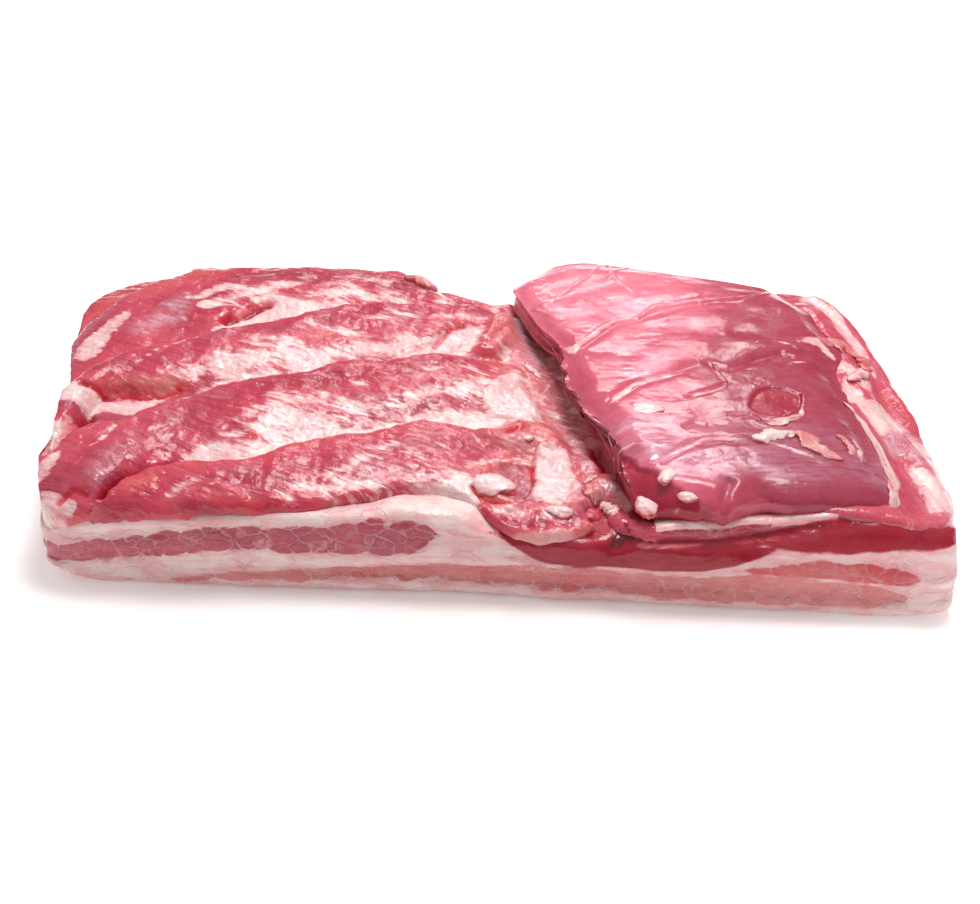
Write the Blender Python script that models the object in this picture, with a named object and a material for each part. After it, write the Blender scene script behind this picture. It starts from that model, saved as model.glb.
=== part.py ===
"""Pork belly slab, raw and boneless, lying fat side down.

One closed body: a long slab whose top carries four slanting rib strips on the
left, a sunk valley in the middle and a thick loose flap of lean on the right.
Metres, +X along the slab, +Y away from the cut front face, +Z up, resting on Z = 0.
"""

import bpy
import numpy as np

# Grid counts of the slab's body and of the flap (rows along X, points round each row)
SLAB_ROWS = 58
SLAB_TOP, SLAB_BOTTOM, SLAB_SIDE, SLAB_ROUND = 34, 4, 6, 3
FLAP_ROWS = 25
FLAP_TOP, FLAP_BOTTOM, FLAP_SIDE, FLAP_ROUND = 22, 7, 1, 3
CAP_RINGS = 3
END_ROUND_ROWS = 4

# Share of each half extent taken by the rounding of the edges: along, then (across, up) at the top and bottom
END_ROUND = 0.075
SLAB_TOP_ROUND, SLAB_BOTTOM_ROUND = (0.085, 0.42), (0.035, 0.16)
FLAP_END_ROUND = 0.10
FLAP_TOP_ROUND, FLAP_BOTTOM_ROUND = (0.09, 0.9), (0.09, 0.9)

# Middle of the outlines below, which is brought to the origin
MIDDLE = (0.0031, -0.0012)

# Plan outline: (y, x) of the two ends, (x, y) of the front and back faces, and half the span that softens them
OUTLINE_BLUR = 0.010
LEFT_END = ((-0.110, -0.186), (-0.080, -0.194), (-0.030, -0.200), (0.030, -0.208),
            (0.065, -0.211), (0.085, -0.206), (0.104, -0.186))
RIGHT_END = ((-0.110, 0.214), (-0.070, 0.217), (0.000, 0.207), (0.050, 0.194), (0.080, 0.180), (0.104, 0.160))
FRONT_FACE = ((-0.215, -0.108), (0.000, -0.105), (0.215, -0.109))
BACK_FACE = ((-0.215, 0.104), (-0.070, 0.104), (0.000, 0.092), (0.050, 0.108), (0.150, 0.102), (0.215, 0.092))

# Height of the top: (x, z) along the front edge and along the middle, (y, y) where one passes into the other,
# and the drop towards the back edge
FRONT_HEIGHT = ((-0.200, 0.034), (-0.150, 0.040), (-0.060, 0.043), (0.000, 0.042), (0.035, 0.036),
                (0.070, 0.036), (0.110, 0.045), (0.170, 0.048), (0.215, 0.041))
MIDDLE_HEIGHT = ((-0.215, 0.036), (-0.185, 0.042), (-0.100, 0.044), (-0.020, 0.042), (0.040, 0.037),
                 (0.080, 0.043), (0.175, 0.046), (0.215, 0.036))
FRONT_BLEND = (-0.105, -0.080)
BACK_DROP, BACK_DROP_SPAN = 0.003, (0.070, 0.105)

# Underside lifted off the table at the two ends: rise, (x, x) where it starts and ends
LEFT_LIFT, LEFT_LIFT_SPAN = 0.011, (-0.160, -0.200)
RIGHT_LIFT, RIGHT_LIFT_SPAN = 0.003, (0.185, 0.215)

# Rib strips: (x, y) of the grooves between them from front to back, height of a crest above a groove,
# place of the crest between two grooves, and (x, x) where the strips die out
GROOVE_1 = ((-0.175, -0.114), (-0.157, -0.107), (-0.143, -0.086), (-0.123, -0.080), (-0.099, -0.076),
            (-0.078, -0.059), (-0.051, -0.048), (-0.026, -0.036), (0.010, -0.036))
GROOVE_2 = ((-0.200, -0.090), (-0.186, -0.071), (-0.173, -0.050), (-0.148, -0.040), (-0.119, -0.014),
            (-0.083, -0.003), (-0.059, 0.009), (-0.029, 0.018), (0.000, 0.025))
GROOVE_3 = ((-0.212, -0.030), (-0.200, -0.024), (-0.172, 0.011), (-0.145, 0.022), (-0.120, 0.036),
            (-0.092, 0.048), (-0.068, 0.064), (-0.054, 0.066), (0.000, 0.068))
STRIP_RISE = 0.010
CREST_SHARE = 0.80
RISE_SHARPNESS, DROP_SHARPNESS = 1.1, 0.75
STRIP_FADE = (-0.030, 0.035)
NARROWEST_STRIP = 0.004

# Lumps and hollows of the top: (x, y, radius along X, radius along Y, rise)
LUMPS = (
    (0.012, 0.060, 0.014, 0.022, 0.006),
    (0.014, 0.008, 0.012, 0.014, 0.003),
    (0.036, -0.046, 0.020, 0.014, 0.006),
    (0.045, -0.078, 0.012, 0.016, 0.004),
    (0.009, -0.078, 0.013, 0.008, 0.003),
    (0.068, -0.097, 0.011, 0.008, -0.007),
    (0.058, -0.040, 0.009, 0.022, -0.006),
    (0.028, 0.083, 0.010, 0.016, -0.004),
    (-0.160, -0.090, 0.012, 0.008, -0.006),
    (-0.128, 0.044, 0.020, 0.006, -0.003),
    (0.196, -0.020, 0.007, 0.050, -0.003),
    (0.200, 0.030, 0.008, 0.050, 0.002),
)

# Front face: (height share, depth, half width share) of its soft creases and bulges, the share of the slab's
# depth over which they run out, and how far the upper right of the face leans back: depth, heights, (x, x)
FACE_RELIEF = ((0.15, 0.0015, 0.10), (0.38, -0.0012, 0.09), (0.60, 0.0022, 0.14), (0.84, -0.0018, 0.09))
FACE_REACH = (0.5, 0.95)
FACE_LEAN, FACE_LEAN_HEIGHT, FACE_LEAN_SPAN = 0.012, (0.45, 1.0), (0.080, 0.190)

# Flap: (y, x) of its two ends, (x, y) of its front and back, (x, z) of its top
FLAP_LEFT = ((-0.108, 0.083), (-0.070, 0.066), (-0.030, 0.051), (0.010, 0.042),
             (0.036, 0.031), (0.070, 0.014), (0.100, 0.007))
FLAP_RIGHT = ((-0.085, 0.190), (-0.043, 0.182), (0.005, 0.174), (0.032, 0.179), (0.067, 0.168), (0.100, 0.154))
FLAP_FRONT = ((0.060, -0.108), (0.110, -0.103), (0.150, -0.096), (0.190, -0.087))
FLAP_BACK = ((0.010, 0.097), (0.050, 0.106), (0.110, 0.096), (0.180, 0.084))
FLAP_HEIGHT = ((0.010, 0.057), (0.050, 0.058), (0.110, 0.056), (0.150, 0.054), (0.190, 0.049))

# Flap: thickness at its rim, extra thickness sunk into the slab, shares of its width between the two,
# rise of its middle, softness of its outline, and (y, x, depth, width) of the two seams across it
FLAP_RIM, FLAP_BED, FLAP_BED_SPAN = 0.011, 0.005, (0.08, 0.30)
FLAP_DOME = 0.002
FLAP_BLUR = 0.006
FLAP_SEAMS = ((0.006, 0.120, 0.0016, 0.008), (-0.050, 0.120, 0.0014, 0.007))
SEAM_SLOPE = 0.28

MEAT_COLOUR = (0.62, 0.20, 0.24, 1.0)
MEAT_ROUGHNESS = 0.38


def curve(at, points, blur=OUTLINE_BLUR):
    """Height of a polyline through the points at 'at', averaged over a short span so that it bends softly."""
    along, value = np.array(points).T
    return np.mean([np.interp(at + shift * blur, along, value) for shift in np.linspace(-1, 1, 7)], axis=0)


def ease(value, start, end):
    """0 before start, 1 after end, joined by a cubic."""
    t = np.clip((value - start) / (end - start), 0, 1)
    return t * t * (3 - 2 * t)


def rounded_loop(top_round, bottom_round, top, bottom, side, turn):
    """Closed loop round a box from -1 to 1, across and up, with elliptical corners, from the front bottom."""
    corner = np.linspace(0, np.pi / 2, turn + 1)[1:-1]
    low, high = bottom_round[1] - 1, 1 - top_round[1]
    bottom_reach, top_reach = 1 - bottom_round[0], 1 - top_round[0]

    def straight(start, end, count):
        return np.array(start) + np.subtract(end, start) * np.linspace(0, 1, count + 1)[:, None]

    def arc(centre, radii, begin):
        angle = begin - corner
        return np.stack([centre[0] + radii[0] * np.cos(angle), centre[1] + radii[1] * np.sin(angle)], 1)

    parts = [
        straight((-1, low), (-1, high), side),
        arc((-top_reach, high), top_round, np.pi),
        straight((-top_reach, 1), (top_reach, 1), top),
        arc((top_reach, high), top_round, np.pi / 2),
        straight((1, high), (1, low), side),
        arc((bottom_reach, low), bottom_round, 0.0),
        straight((bottom_reach, -1), (-bottom_reach, -1), bottom),
        arc((-bottom_reach, low), bottom_round, -np.pi / 2),
    ]
    return np.concatenate(parts)


def rounded_rows(round_long, rows, turn_rows, rings):
    """Place of each loop along the box from -1 to 1 and its size: flat end, quarter ellipse, straight."""
    turn = np.linspace(0, np.pi / 2, turn_rows + 1)
    inner = np.linspace(0, 1 - round_long, rings + 1)[1:-1]
    place = np.concatenate([np.full(rings - 1, -1.0), -1 + round_long * (1 - np.cos(turn))])
    size = np.concatenate([inner, 1 - round_long + round_long * np.sin(turn)])
    middle = np.linspace(-1 + round_long, 1 - round_long, rows + 1)[1:-1]
    return (
        np.concatenate([place, middle, -place[::-1]]),
        np.concatenate([size, np.ones(len(middle)), size[::-1]]),
    )


def closed_block(loop, place, size, to_space):
    """Points and faces of a block made of loops along it, closed by one point at each end."""
    long = np.repeat(place, len(loop))
    across = np.outer(size, loop[:, 0]).ravel()
    high = np.outer(size, loop[:, 1]).ravel()
    long = np.concatenate([long, [-1, 1]])
    across, high = np.append(across, [0, 0]), np.append(high, [0, 0])
    x, y, z = to_space(long, across, high)
    points = np.stack([x - MIDDLE[0], y - MIDDLE[1], z], 1)

    rows, around = len(place), len(loop)
    row, step = np.meshgrid(np.arange(rows - 1), np.arange(around), indexing="ij")
    here, after = row * around + step, row * around + (step + 1) % around
    quads = np.stack([here, here + around, after + around, after], -1).reshape(-1, 4)
    step = np.arange(around)
    first = np.stack([step, (step + 1) % around, np.full(around, rows * around)], 1)
    last = np.stack([(step + 1) % around, step, np.full(around, rows * around + 1)], 1)
    last[:, :2] += (rows - 1) * around
    return points, quads.tolist() + first.tolist() + last.tolist()


def strip_wave(x, y):
    """0 in each groove, 1 on each crest: a sine rise from the groove in front, then a steep cosine drop behind."""
    grooves = [curve(x, FRONT_FACE)] + [curve(x, line) for line in (GROOVE_1, GROOVE_2, GROOVE_3)]
    grooves.append(curve(x, BACK_FACE))
    wave = np.zeros_like(x)
    for near, far in zip(grooves, grooves[1:]):
        place = np.clip((y - near) / np.maximum(far - near, NARROWEST_STRIP), 0, 1)
        rise = np.sin(np.pi / 2 * np.clip(place / CREST_SHARE, 0, 1)) ** RISE_SHARPNESS
        drop = np.cos(np.pi / 2 * np.clip((place - CREST_SHARE) / (1 - CREST_SHARE), 0, 1)) ** DROP_SHARPNESS
        wave = np.where((y > near) & (y <= far), np.minimum(rise, drop), wave)
    return wave


def top_height(x, y):
    """Height of the slab's top: a broad base, the rib strips on the left, and single lumps and hollows."""
    inward = ease(y, *FRONT_BLEND)
    base = curve(x, FRONT_HEIGHT) * (1 - inward) + curve(x, MIDDLE_HEIGHT) * inward
    base = base - BACK_DROP * ease(y, *BACK_DROP_SPAN)
    strips = STRIP_RISE * strip_wave(x, y) * (1 - ease(x, *STRIP_FADE))
    height = base + strips
    for centre_x, centre_y, wide, deep, rise in LUMPS:
        height = height + rise * np.exp(-(((x - centre_x) / wide) ** 2) - ((y - centre_y) / deep) ** 2)
    return height


def in_outline(long, across, ends, sides, blur):
    """Plan place of a point of the unit block. Each side depends on the other axis, so it is found in turns."""
    x, y = np.zeros_like(long), np.zeros_like(long)
    for _ in range(4):
        front, back = (curve(x, side, blur) for side in sides)
        y = front + (back - front) * (across + 1) / 2
        left, right = (curve(y, end, blur) for end in ends)
        x = left + (right - left) * (long + 1) / 2
    return x, y


def slab_space(long, across, high):
    """Place of a point of the unit block on the slab."""
    x, y = in_outline(long, across, (LEFT_END, RIGHT_END), (FRONT_FACE, BACK_FACE), OUTLINE_BLUR)
    low = LEFT_LIFT * ease(x, *LEFT_LIFT_SPAN) + RIGHT_LIFT * ease(x, *RIGHT_LIFT_SPAN)
    share = (high + 1) / 2
    z = low + (top_height(x, y) - low) * share
    relief = sum(depth * np.exp(-(((share - level) / wide) ** 2)) for level, depth, wide in FACE_RELIEF)
    relief = relief - FACE_LEAN * ease(share, *FACE_LEAN_HEIGHT) * ease(x, *FACE_LEAN_SPAN)
    return x, y - relief * ease(-across, *FACE_REACH), z


def flap_space(long, across, high):
    """Place of a point of the unit block on the flap of lean."""
    x, y = in_outline(long, across, (FLAP_LEFT, FLAP_RIGHT), (FLAP_FRONT, FLAP_BACK), FLAP_BLUR)
    top = curve(x, FLAP_HEIGHT) + FLAP_DOME * np.cos(across * np.pi / 2)
    for seam_y, seam_x, depth, wide in FLAP_SEAMS:
        off = y - seam_y - SEAM_SLOPE * (x - seam_x)
        top = top - depth * np.exp(-((off / wide) ** 2))
    from_rim = np.minimum(1 - np.abs(long), 1 - np.abs(across))
    thick = FLAP_RIM + FLAP_BED * ease(from_rim, *FLAP_BED_SPAN)
    return x, y, top - thick * (1 - high) / 2


def solid(name, points, faces):
    mesh = bpy.data.meshes.new(name)
    mesh.from_pydata(points.tolist(), [], faces)
    mesh.polygons.foreach_set("use_smooth", np.ones(len(faces), dtype=bool))
    mesh.update()
    obj = bpy.data.objects.new(name, mesh)
    bpy.context.scene.collection.objects.link(obj)
    return obj


def meat_material():
    material = bpy.data.materials.new("raw_pork")
    material.use_nodes = True
    shader = material.node_tree.nodes["Principled BSDF"]
    shader.inputs["Base Color"].default_value = MEAT_COLOUR
    shader.inputs["Roughness"].default_value = MEAT_ROUGHNESS
    shader.inputs["Metallic"].default_value = 0.0
    return material


def main():
    for obj in list(bpy.data.objects):
        bpy.data.objects.remove(obj, do_unlink=True)

    loop = rounded_loop(SLAB_TOP_ROUND, SLAB_BOTTOM_ROUND, SLAB_TOP, SLAB_BOTTOM, SLAB_SIDE, SLAB_ROUND)
    place, size = rounded_rows(END_ROUND, SLAB_ROWS, END_ROUND_ROWS, CAP_RINGS)
    slab = solid("pork_belly", *closed_block(loop, place, size, slab_space))
    slab.data.materials.append(meat_material())

    loop = rounded_loop(FLAP_TOP_ROUND, FLAP_BOTTOM_ROUND, FLAP_TOP, FLAP_BOTTOM, FLAP_SIDE, FLAP_ROUND)
    place, size = rounded_rows(FLAP_END_ROUND, FLAP_ROWS, FLAP_ROUND, CAP_RINGS)
    flap = solid("flap_of_lean", *closed_block(loop, place, size, flap_space))
    flap.hide_render = True
    flap.display_type = "WIRE"

    union = slab.modifiers.new("flap_joined", "BOOLEAN")
    union.operation = "UNION"
    union.solver = "EXACT"
    union.object = flap


main()
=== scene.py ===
"""Raw pork belly slab, lying fat side down.

The slab is made of closed surfaces that sink into one another: the layered body
with its cut faces, the rib side with its four slanting strips, the loose flap of
lean, the right shoulder, and the small lumps, sinews and scraps that lie on them.
Metres, +X along the slab, +Y away from the cut front face, +Z up.
"""

import math

import bpy
import numpy as np
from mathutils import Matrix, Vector


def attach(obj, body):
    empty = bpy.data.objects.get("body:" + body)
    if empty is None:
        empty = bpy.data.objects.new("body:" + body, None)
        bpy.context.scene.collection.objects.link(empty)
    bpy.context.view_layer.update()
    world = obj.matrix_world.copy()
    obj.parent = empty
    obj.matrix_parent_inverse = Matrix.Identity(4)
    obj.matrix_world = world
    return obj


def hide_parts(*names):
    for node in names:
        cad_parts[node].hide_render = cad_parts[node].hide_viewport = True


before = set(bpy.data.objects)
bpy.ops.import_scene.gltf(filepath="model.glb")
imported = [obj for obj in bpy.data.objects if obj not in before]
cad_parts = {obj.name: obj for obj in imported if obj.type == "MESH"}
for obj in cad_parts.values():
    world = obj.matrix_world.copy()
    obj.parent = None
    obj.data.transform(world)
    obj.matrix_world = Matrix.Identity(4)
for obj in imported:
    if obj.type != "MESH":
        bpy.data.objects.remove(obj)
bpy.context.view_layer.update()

bl_info = {
    "name": "Pork belly slab",
    "version": (1, 0, 0),
    "blender": (4, 5, 0),
    "location": "3D View > Sidebar > Pork",
    "description": "Builds a raw pork belly slab with its layers, rib strips and flap",
    "category": "Add Mesh",
}

NODE = "pork_belly"

# Middle of the outlines below, which is brought to the origin
MIDDLE = (0.0031, -0.0012)

# Plan outline of the slab: (y, x) of the two ends, (x, y) of the front and back faces
LEFT_END = ((-0.110, -0.185), (-0.090, -0.190), (-0.075, -0.190), (-0.050, -0.187), (-0.010, -0.193), (0.030, -0.203),
            (0.065, -0.208), (0.085, -0.203), (0.104, -0.182))
RIGHT_END = ((-0.110, 0.214), (-0.070, 0.217), (0.000, 0.207), (0.050, 0.194), (0.080, 0.180), (0.104, 0.160))
FRONT_FACE = ((-0.215, -0.108), (0.000, -0.105), (0.215, -0.109))
BACK_FACE = ((-0.215, 0.104), (-0.070, 0.104), (0.000, 0.092), (0.050, 0.108), (0.150, 0.102), (0.215, 0.092))

# Height of the slab: (x, z) along the front edge and along the middle
FRONT_HEIGHT = ((-0.200, 0.032), (-0.175, 0.036), (-0.150, 0.040), (-0.060, 0.043), (0.000, 0.041),
                (0.020, 0.034), (0.060, 0.034), (0.085, 0.043), (0.130, 0.045), (0.170, 0.047), (0.215, 0.041))
MIDDLE_HEIGHT = ((-0.215, 0.036), (-0.185, 0.042), (-0.100, 0.044), (-0.020, 0.042), (0.040, 0.037),
                 (0.080, 0.043), (0.175, 0.046), (0.215, 0.036))

# Grooves between the rib strips, from the front to the back: (x, y)
GROOVES = (
    ((-0.175, -0.114), (-0.158, -0.109), (-0.154, -0.096), (-0.143, -0.086), (-0.123, -0.080), (-0.099, -0.076),
     (-0.090, -0.070), (-0.078, -0.059), (-0.067, -0.052), (-0.051, -0.048), (-0.032, -0.042), (-0.026, -0.035), (0.010, -0.036)),
    ((-0.200, -0.090), (-0.188, -0.078), (-0.184, -0.065), (-0.173, -0.049), (-0.159, -0.047), (-0.148, -0.040),
     (-0.134, -0.028), (-0.119, -0.014), (-0.106, -0.010), (-0.083, -0.003), (-0.059, 0.009), (-0.040, 0.012),
     (-0.029, 0.018), (0.000, 0.025)),
    ((-0.212, -0.030), (-0.200, -0.024), (-0.191, -0.011), (-0.172, 0.011), (-0.160, 0.018), (-0.145, 0.022), (-0.120, 0.036),
     (-0.106, 0.041), (-0.092, 0.048), (-0.080, 0.057), (-0.068, 0.064), (-0.054, 0.066), (0.000, 0.068)),
)

# Plan outline of the rib layer and of the flap
RIB_LEFT = ((-0.110, -0.184), (-0.080, -0.190), (-0.040, -0.193), (-0.010, -0.198), (0.030, -0.208), (0.065, -0.212), (0.085, -0.207),
            (0.104, -0.187))
RIB_RIGHT = ((-0.110, 0.080), (0.110, 0.070))
RIB_FRONT = ((-0.190, -0.106), (-0.165, -0.109), (-0.122, -0.108), (-0.096, -0.105), (-0.070, -0.102), (-0.049, -0.094),
             (-0.028, -0.085), (-0.008, -0.083), (0.003, -0.088), (0.013, -0.100), (0.026, -0.106), (0.043, -0.105),
             (0.056, -0.100), (0.064, -0.092), (0.078, -0.086))
RIB_BACK = ((-0.215, 0.105), (-0.070, 0.105), (0.000, 0.093), (0.050, 0.106), (0.080, 0.106))
FLAP_LEFT = ((-0.116, 0.089), (-0.100, 0.079), (-0.085, 0.071), (-0.076, 0.067), (-0.070, 0.071), (-0.064, 0.065),
             (-0.058, 0.063), (-0.043, 0.058), (-0.034, 0.051), (-0.024, 0.046), (-0.006, 0.043), (0.003, 0.042), (0.022, 0.038),
             (0.032, 0.031), (0.043, 0.025), (0.054, 0.021), (0.066, 0.016), (0.072, 0.013), (0.084, 0.013), (0.094, 0.020), (0.106, 0.036))
FLAP_RIGHT = ((-0.085, 0.190), (-0.043, 0.182), (0.000, 0.175), (0.014, 0.172), (0.032, 0.179), (0.067, 0.168), (0.100, 0.154))
FLAP_FRONT = ((0.060, -0.095), (0.080, -0.097), (0.090, -0.098), (0.100, -0.100), (0.108, -0.102), (0.112, -0.104), (0.118, -0.098),
              (0.128, -0.093), (0.139, -0.094), (0.152, -0.093), (0.162, -0.090), (0.190, -0.088))
FLAP_BACK = ((0.010, 0.097), (0.050, 0.106), (0.110, 0.096), (0.180, 0.084))
FLAP_HEIGHT = ((0.010, 0.057), (0.050, 0.058), (0.110, 0.056), (0.150, 0.054), (0.190, 0.049))


# ---------------------------------------------------------------- arithmetic on arrays


def curve(at, points, blur=0.008):
    """A polyline read at 'at' and averaged over a short span either side, so that it bends softly."""
    along, value = np.array(points).T
    return np.mean([np.interp(at + shift * blur, along, value) for shift in np.linspace(-1, 1, 7)], axis=0)


def ease(value, start, end):
    """0 before start, 1 after end, joined by the cubic 3t^2 - 2t^3."""
    t = np.clip((value - start) / (end - start), 0, 1)
    return t * t * (3 - 2 * t)


def lattice(x, y, z, seed):
    """Smooth random field from -1 to 1: random values on a unit lattice, joined by a quintic along each axis."""
    table = np.random.default_rng(seed).uniform(-1, 1, (64, 64, 64)).astype(np.float32)
    whole, part = [], []
    for value in (x, y, z):
        low = np.floor(value)
        f = value - low
        whole.append(low.astype(np.int64))
        part.append(f * f * f * (f * (6 * f - 15) + 10))
    total = 0
    for corner in range(8):
        bits = (corner & 1, corner >> 1 & 1, corner >> 2 & 1)
        weight = 1
        for bit, f in zip(bits, part):
            weight = weight * (f if bit else 1 - f)
        total = total + weight * table[tuple((w + bit) & 63 for w, bit in zip(whole, bits))]
    return total


def rough(x, y, z, size, seed, octaves=3, keep=0.5):
    """Sum of lattice fields, each turned a little, twice as fine and 'keep' times as strong as the one before."""
    size = np.broadcast_to(np.asarray(size, float), (3,))
    u, v, w = x / size[0], y / size[1], z / size[2]
    total, strength, scale = 0, 1.0, 0.0
    for octave in range(octaves):
        total = total + strength * lattice(u, v, w, seed + octave)
        scale += strength
        strength *= keep
        u, v = 2.03 * (0.96 * u - 0.28 * v) + 7.1, 2.03 * (0.28 * u + 0.96 * v) + 3.7
        w = 2.03 * w + 1.9
    return total / scale


def to_path(x, y, path):
    """Distance of each point to a polyline, and how far along it the nearest place is, from 0 to 1."""
    path = np.array(path, float)
    spans = np.linalg.norm(np.diff(path, axis=0), axis=1)
    starts = np.concatenate([[0], np.cumsum(spans)])
    best, along = np.full(np.shape(x), np.inf), np.zeros(np.shape(x))
    for (ax, ay), (bx, by), start, span in zip(path[:-1], path[1:], starts, spans):
        share = np.clip(((x - ax) * (bx - ax) + (y - ay) * (by - ay)) / span**2, 0, 1)
        away = np.hypot(x - ax - share * (bx - ax), y - ay - share * (by - ay))
        nearer = away < best
        best = np.where(nearer, away, best)
        along = np.where(nearer, (start + share * span) / starts[-1], along)
    return best, along


def inside_oval(x, y, oval):
    """Depth inside an oval in metres, less than 0 outside: (1 - scaled distance) times the smaller radius."""
    centre_x, centre_y, long, wide, turn = oval
    c, s = math.cos(math.radians(turn)), math.sin(math.radians(turn))
    dx, dy = x - centre_x, y - centre_y
    return (1 - np.hypot((dx * c + dy * s) / long, (dy * c - dx * s) / wide)) * min(long, wide)


def inside_shape(x, y, outline):
    """Depth inside a closed outline in metres, less than 0 outside, by crossing count and distance to its sides."""
    closed = list(outline) + [outline[0]]
    away, _ = to_path(x, y, closed)
    inside = np.zeros(np.shape(x), bool)
    for (ax, ay), (bx, by) in zip(closed[:-1], closed[1:]):
        crossing = (ay > y) != (by > y)
        inside ^= crossing & (x < ax + (y - ay) * (bx - ax) / (by - ay + 1e-12))
    return np.where(inside, away, -away)


def inside_stroke(x, y, path, start, end):
    """Depth inside a brush stroke in metres: its half width, which runs from 'start' to 'end', less the distance."""
    away, along = to_path(x, y, path)
    return start + (end - start) * along - away


def hump(x, y, oval):
    """A bell over an oval: exp(-scaled distance squared)."""
    centre_x, centre_y, long, wide, turn = oval
    c, s = math.cos(math.radians(turn)), math.sin(math.radians(turn))
    dx, dy = x - centre_x, y - centre_y
    return np.exp(-(((dx * c + dy * s) / long) ** 2) - ((dy * c - dx * s) / wide) ** 2)


# ---------------------------------------------------------------- finishes


class Wire:
    """An output socket that ordinary arithmetic can be written on; each sign adds a Math node."""

    def __init__(self, finish, socket):
        self.finish, self.socket = finish, socket

    def math(self, operation, first, second=0.0):
        return self.finish.node("ShaderNodeMath", {"operation": operation}, {0: first, 1: second})

    def __add__(self, other):
        return self.math("ADD", self, other)

    def __radd__(self, other):
        return self.math("ADD", other, self)

    def __sub__(self, other):
        return self.math("SUBTRACT", self, other)

    def __rsub__(self, other):
        return self.math("SUBTRACT", other, self)

    def __mul__(self, other):
        return self.math("MULTIPLY", self, other)

    def __rmul__(self, other):
        return self.math("MULTIPLY", other, self)

    def __abs__(self):
        return self.math("ABSOLUTE", self)


class Finish:
    """A material or world being made: its nodes come from one method, and its maths from wires."""

    def __init__(self, block):
        block.use_nodes = True
        self.block, self.tree = block, block.node_tree
        self.tree.nodes.clear()

    def node(self, kind, settings=None, sockets=None, out=0):
        """A node of this kind: settings first, then values or links of its sockets. Gives one output."""
        node = self.tree.nodes.new(kind)
        for key, value in (settings or {}).items():
            if key == "stops":
                while len(node.color_ramp.elements) < len(value):
                    node.color_ramp.elements.new(1.0)
                for element, (place, colour) in zip(node.color_ramp.elements, value):
                    element.position, element.color = place, colour
            else:
                setattr(node, key, value)
        for key, value in (sockets or {}).items():
            if isinstance(value, Wire):
                self.tree.links.new(value.socket, node.inputs[key])
            else:
                node.inputs[key].default_value = value
        return Wire(self, node.outputs[out])

    def end(self, kind, shader):
        """The output node, fed by the last shader."""
        self.tree.links.new(shader.socket, self.tree.nodes.new(kind).inputs["Surface"])

    def field(self, name, out="Fac"):
        """A value painted on the mesh."""
        return self.node("ShaderNodeAttribute", {"attribute_name": name}, out=out)

    def scaled(self, vector, scale):
        return self.node("ShaderNodeVectorMath", {"operation": "MULTIPLY"}, {0: vector, 1: scale})

    def noise(self, vector, scale=1.0, detail=3.0, keep=0.5, warp=0.0):
        """Fractal noise from 0 to 1 over a vector."""
        sockets = {"Vector": vector, "Scale": scale, "Detail": detail, "Roughness": keep, "Distortion": warp}
        return self.node("ShaderNodeTexNoise", {"noise_dimensions": "3D"}, sockets)

    def edges(self, vector, scale, random=1.0):
        """Distance from the borders between random cells, 0 on a border."""
        settings = {"voronoi_dimensions": "3D", "feature": "DISTANCE_TO_EDGE"}
        return self.node("ShaderNodeTexVoronoi", settings, {"Vector": vector, "Scale": scale, "Randomness": random})

    def cells(self, vector, scale):
        """Distance from the middles of random cells, 0 in each middle."""
        settings = {"voronoi_dimensions": "3D", "feature": "F1"}
        return self.node("ShaderNodeTexVoronoi", settings, {"Vector": vector, "Scale": scale})

    def step(self, value, start, end, low=0.0, high=1.0):
        """Low before start, high after end, smooth between."""
        sockets = {"Value": value, "From Min": start, "From Max": end, "To Min": low, "To Max": high}
        return self.node("ShaderNodeMapRange", {"interpolation_type": "SMOOTHSTEP"}, sockets)

    def mix(self, share, first, second, blend="MIX"):
        """A colour between two colours."""
        settings = {"data_type": "RGBA", "blend_type": blend, "clamp_factor": True}
        return self.node("ShaderNodeMix", settings, {0: share, 6: first, 7: second}, out=2)


def rgba(colour, gain=1.0):
    return (colour[0] * gain, colour[1] * gain, colour[2] * gain, 1.0)


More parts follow.
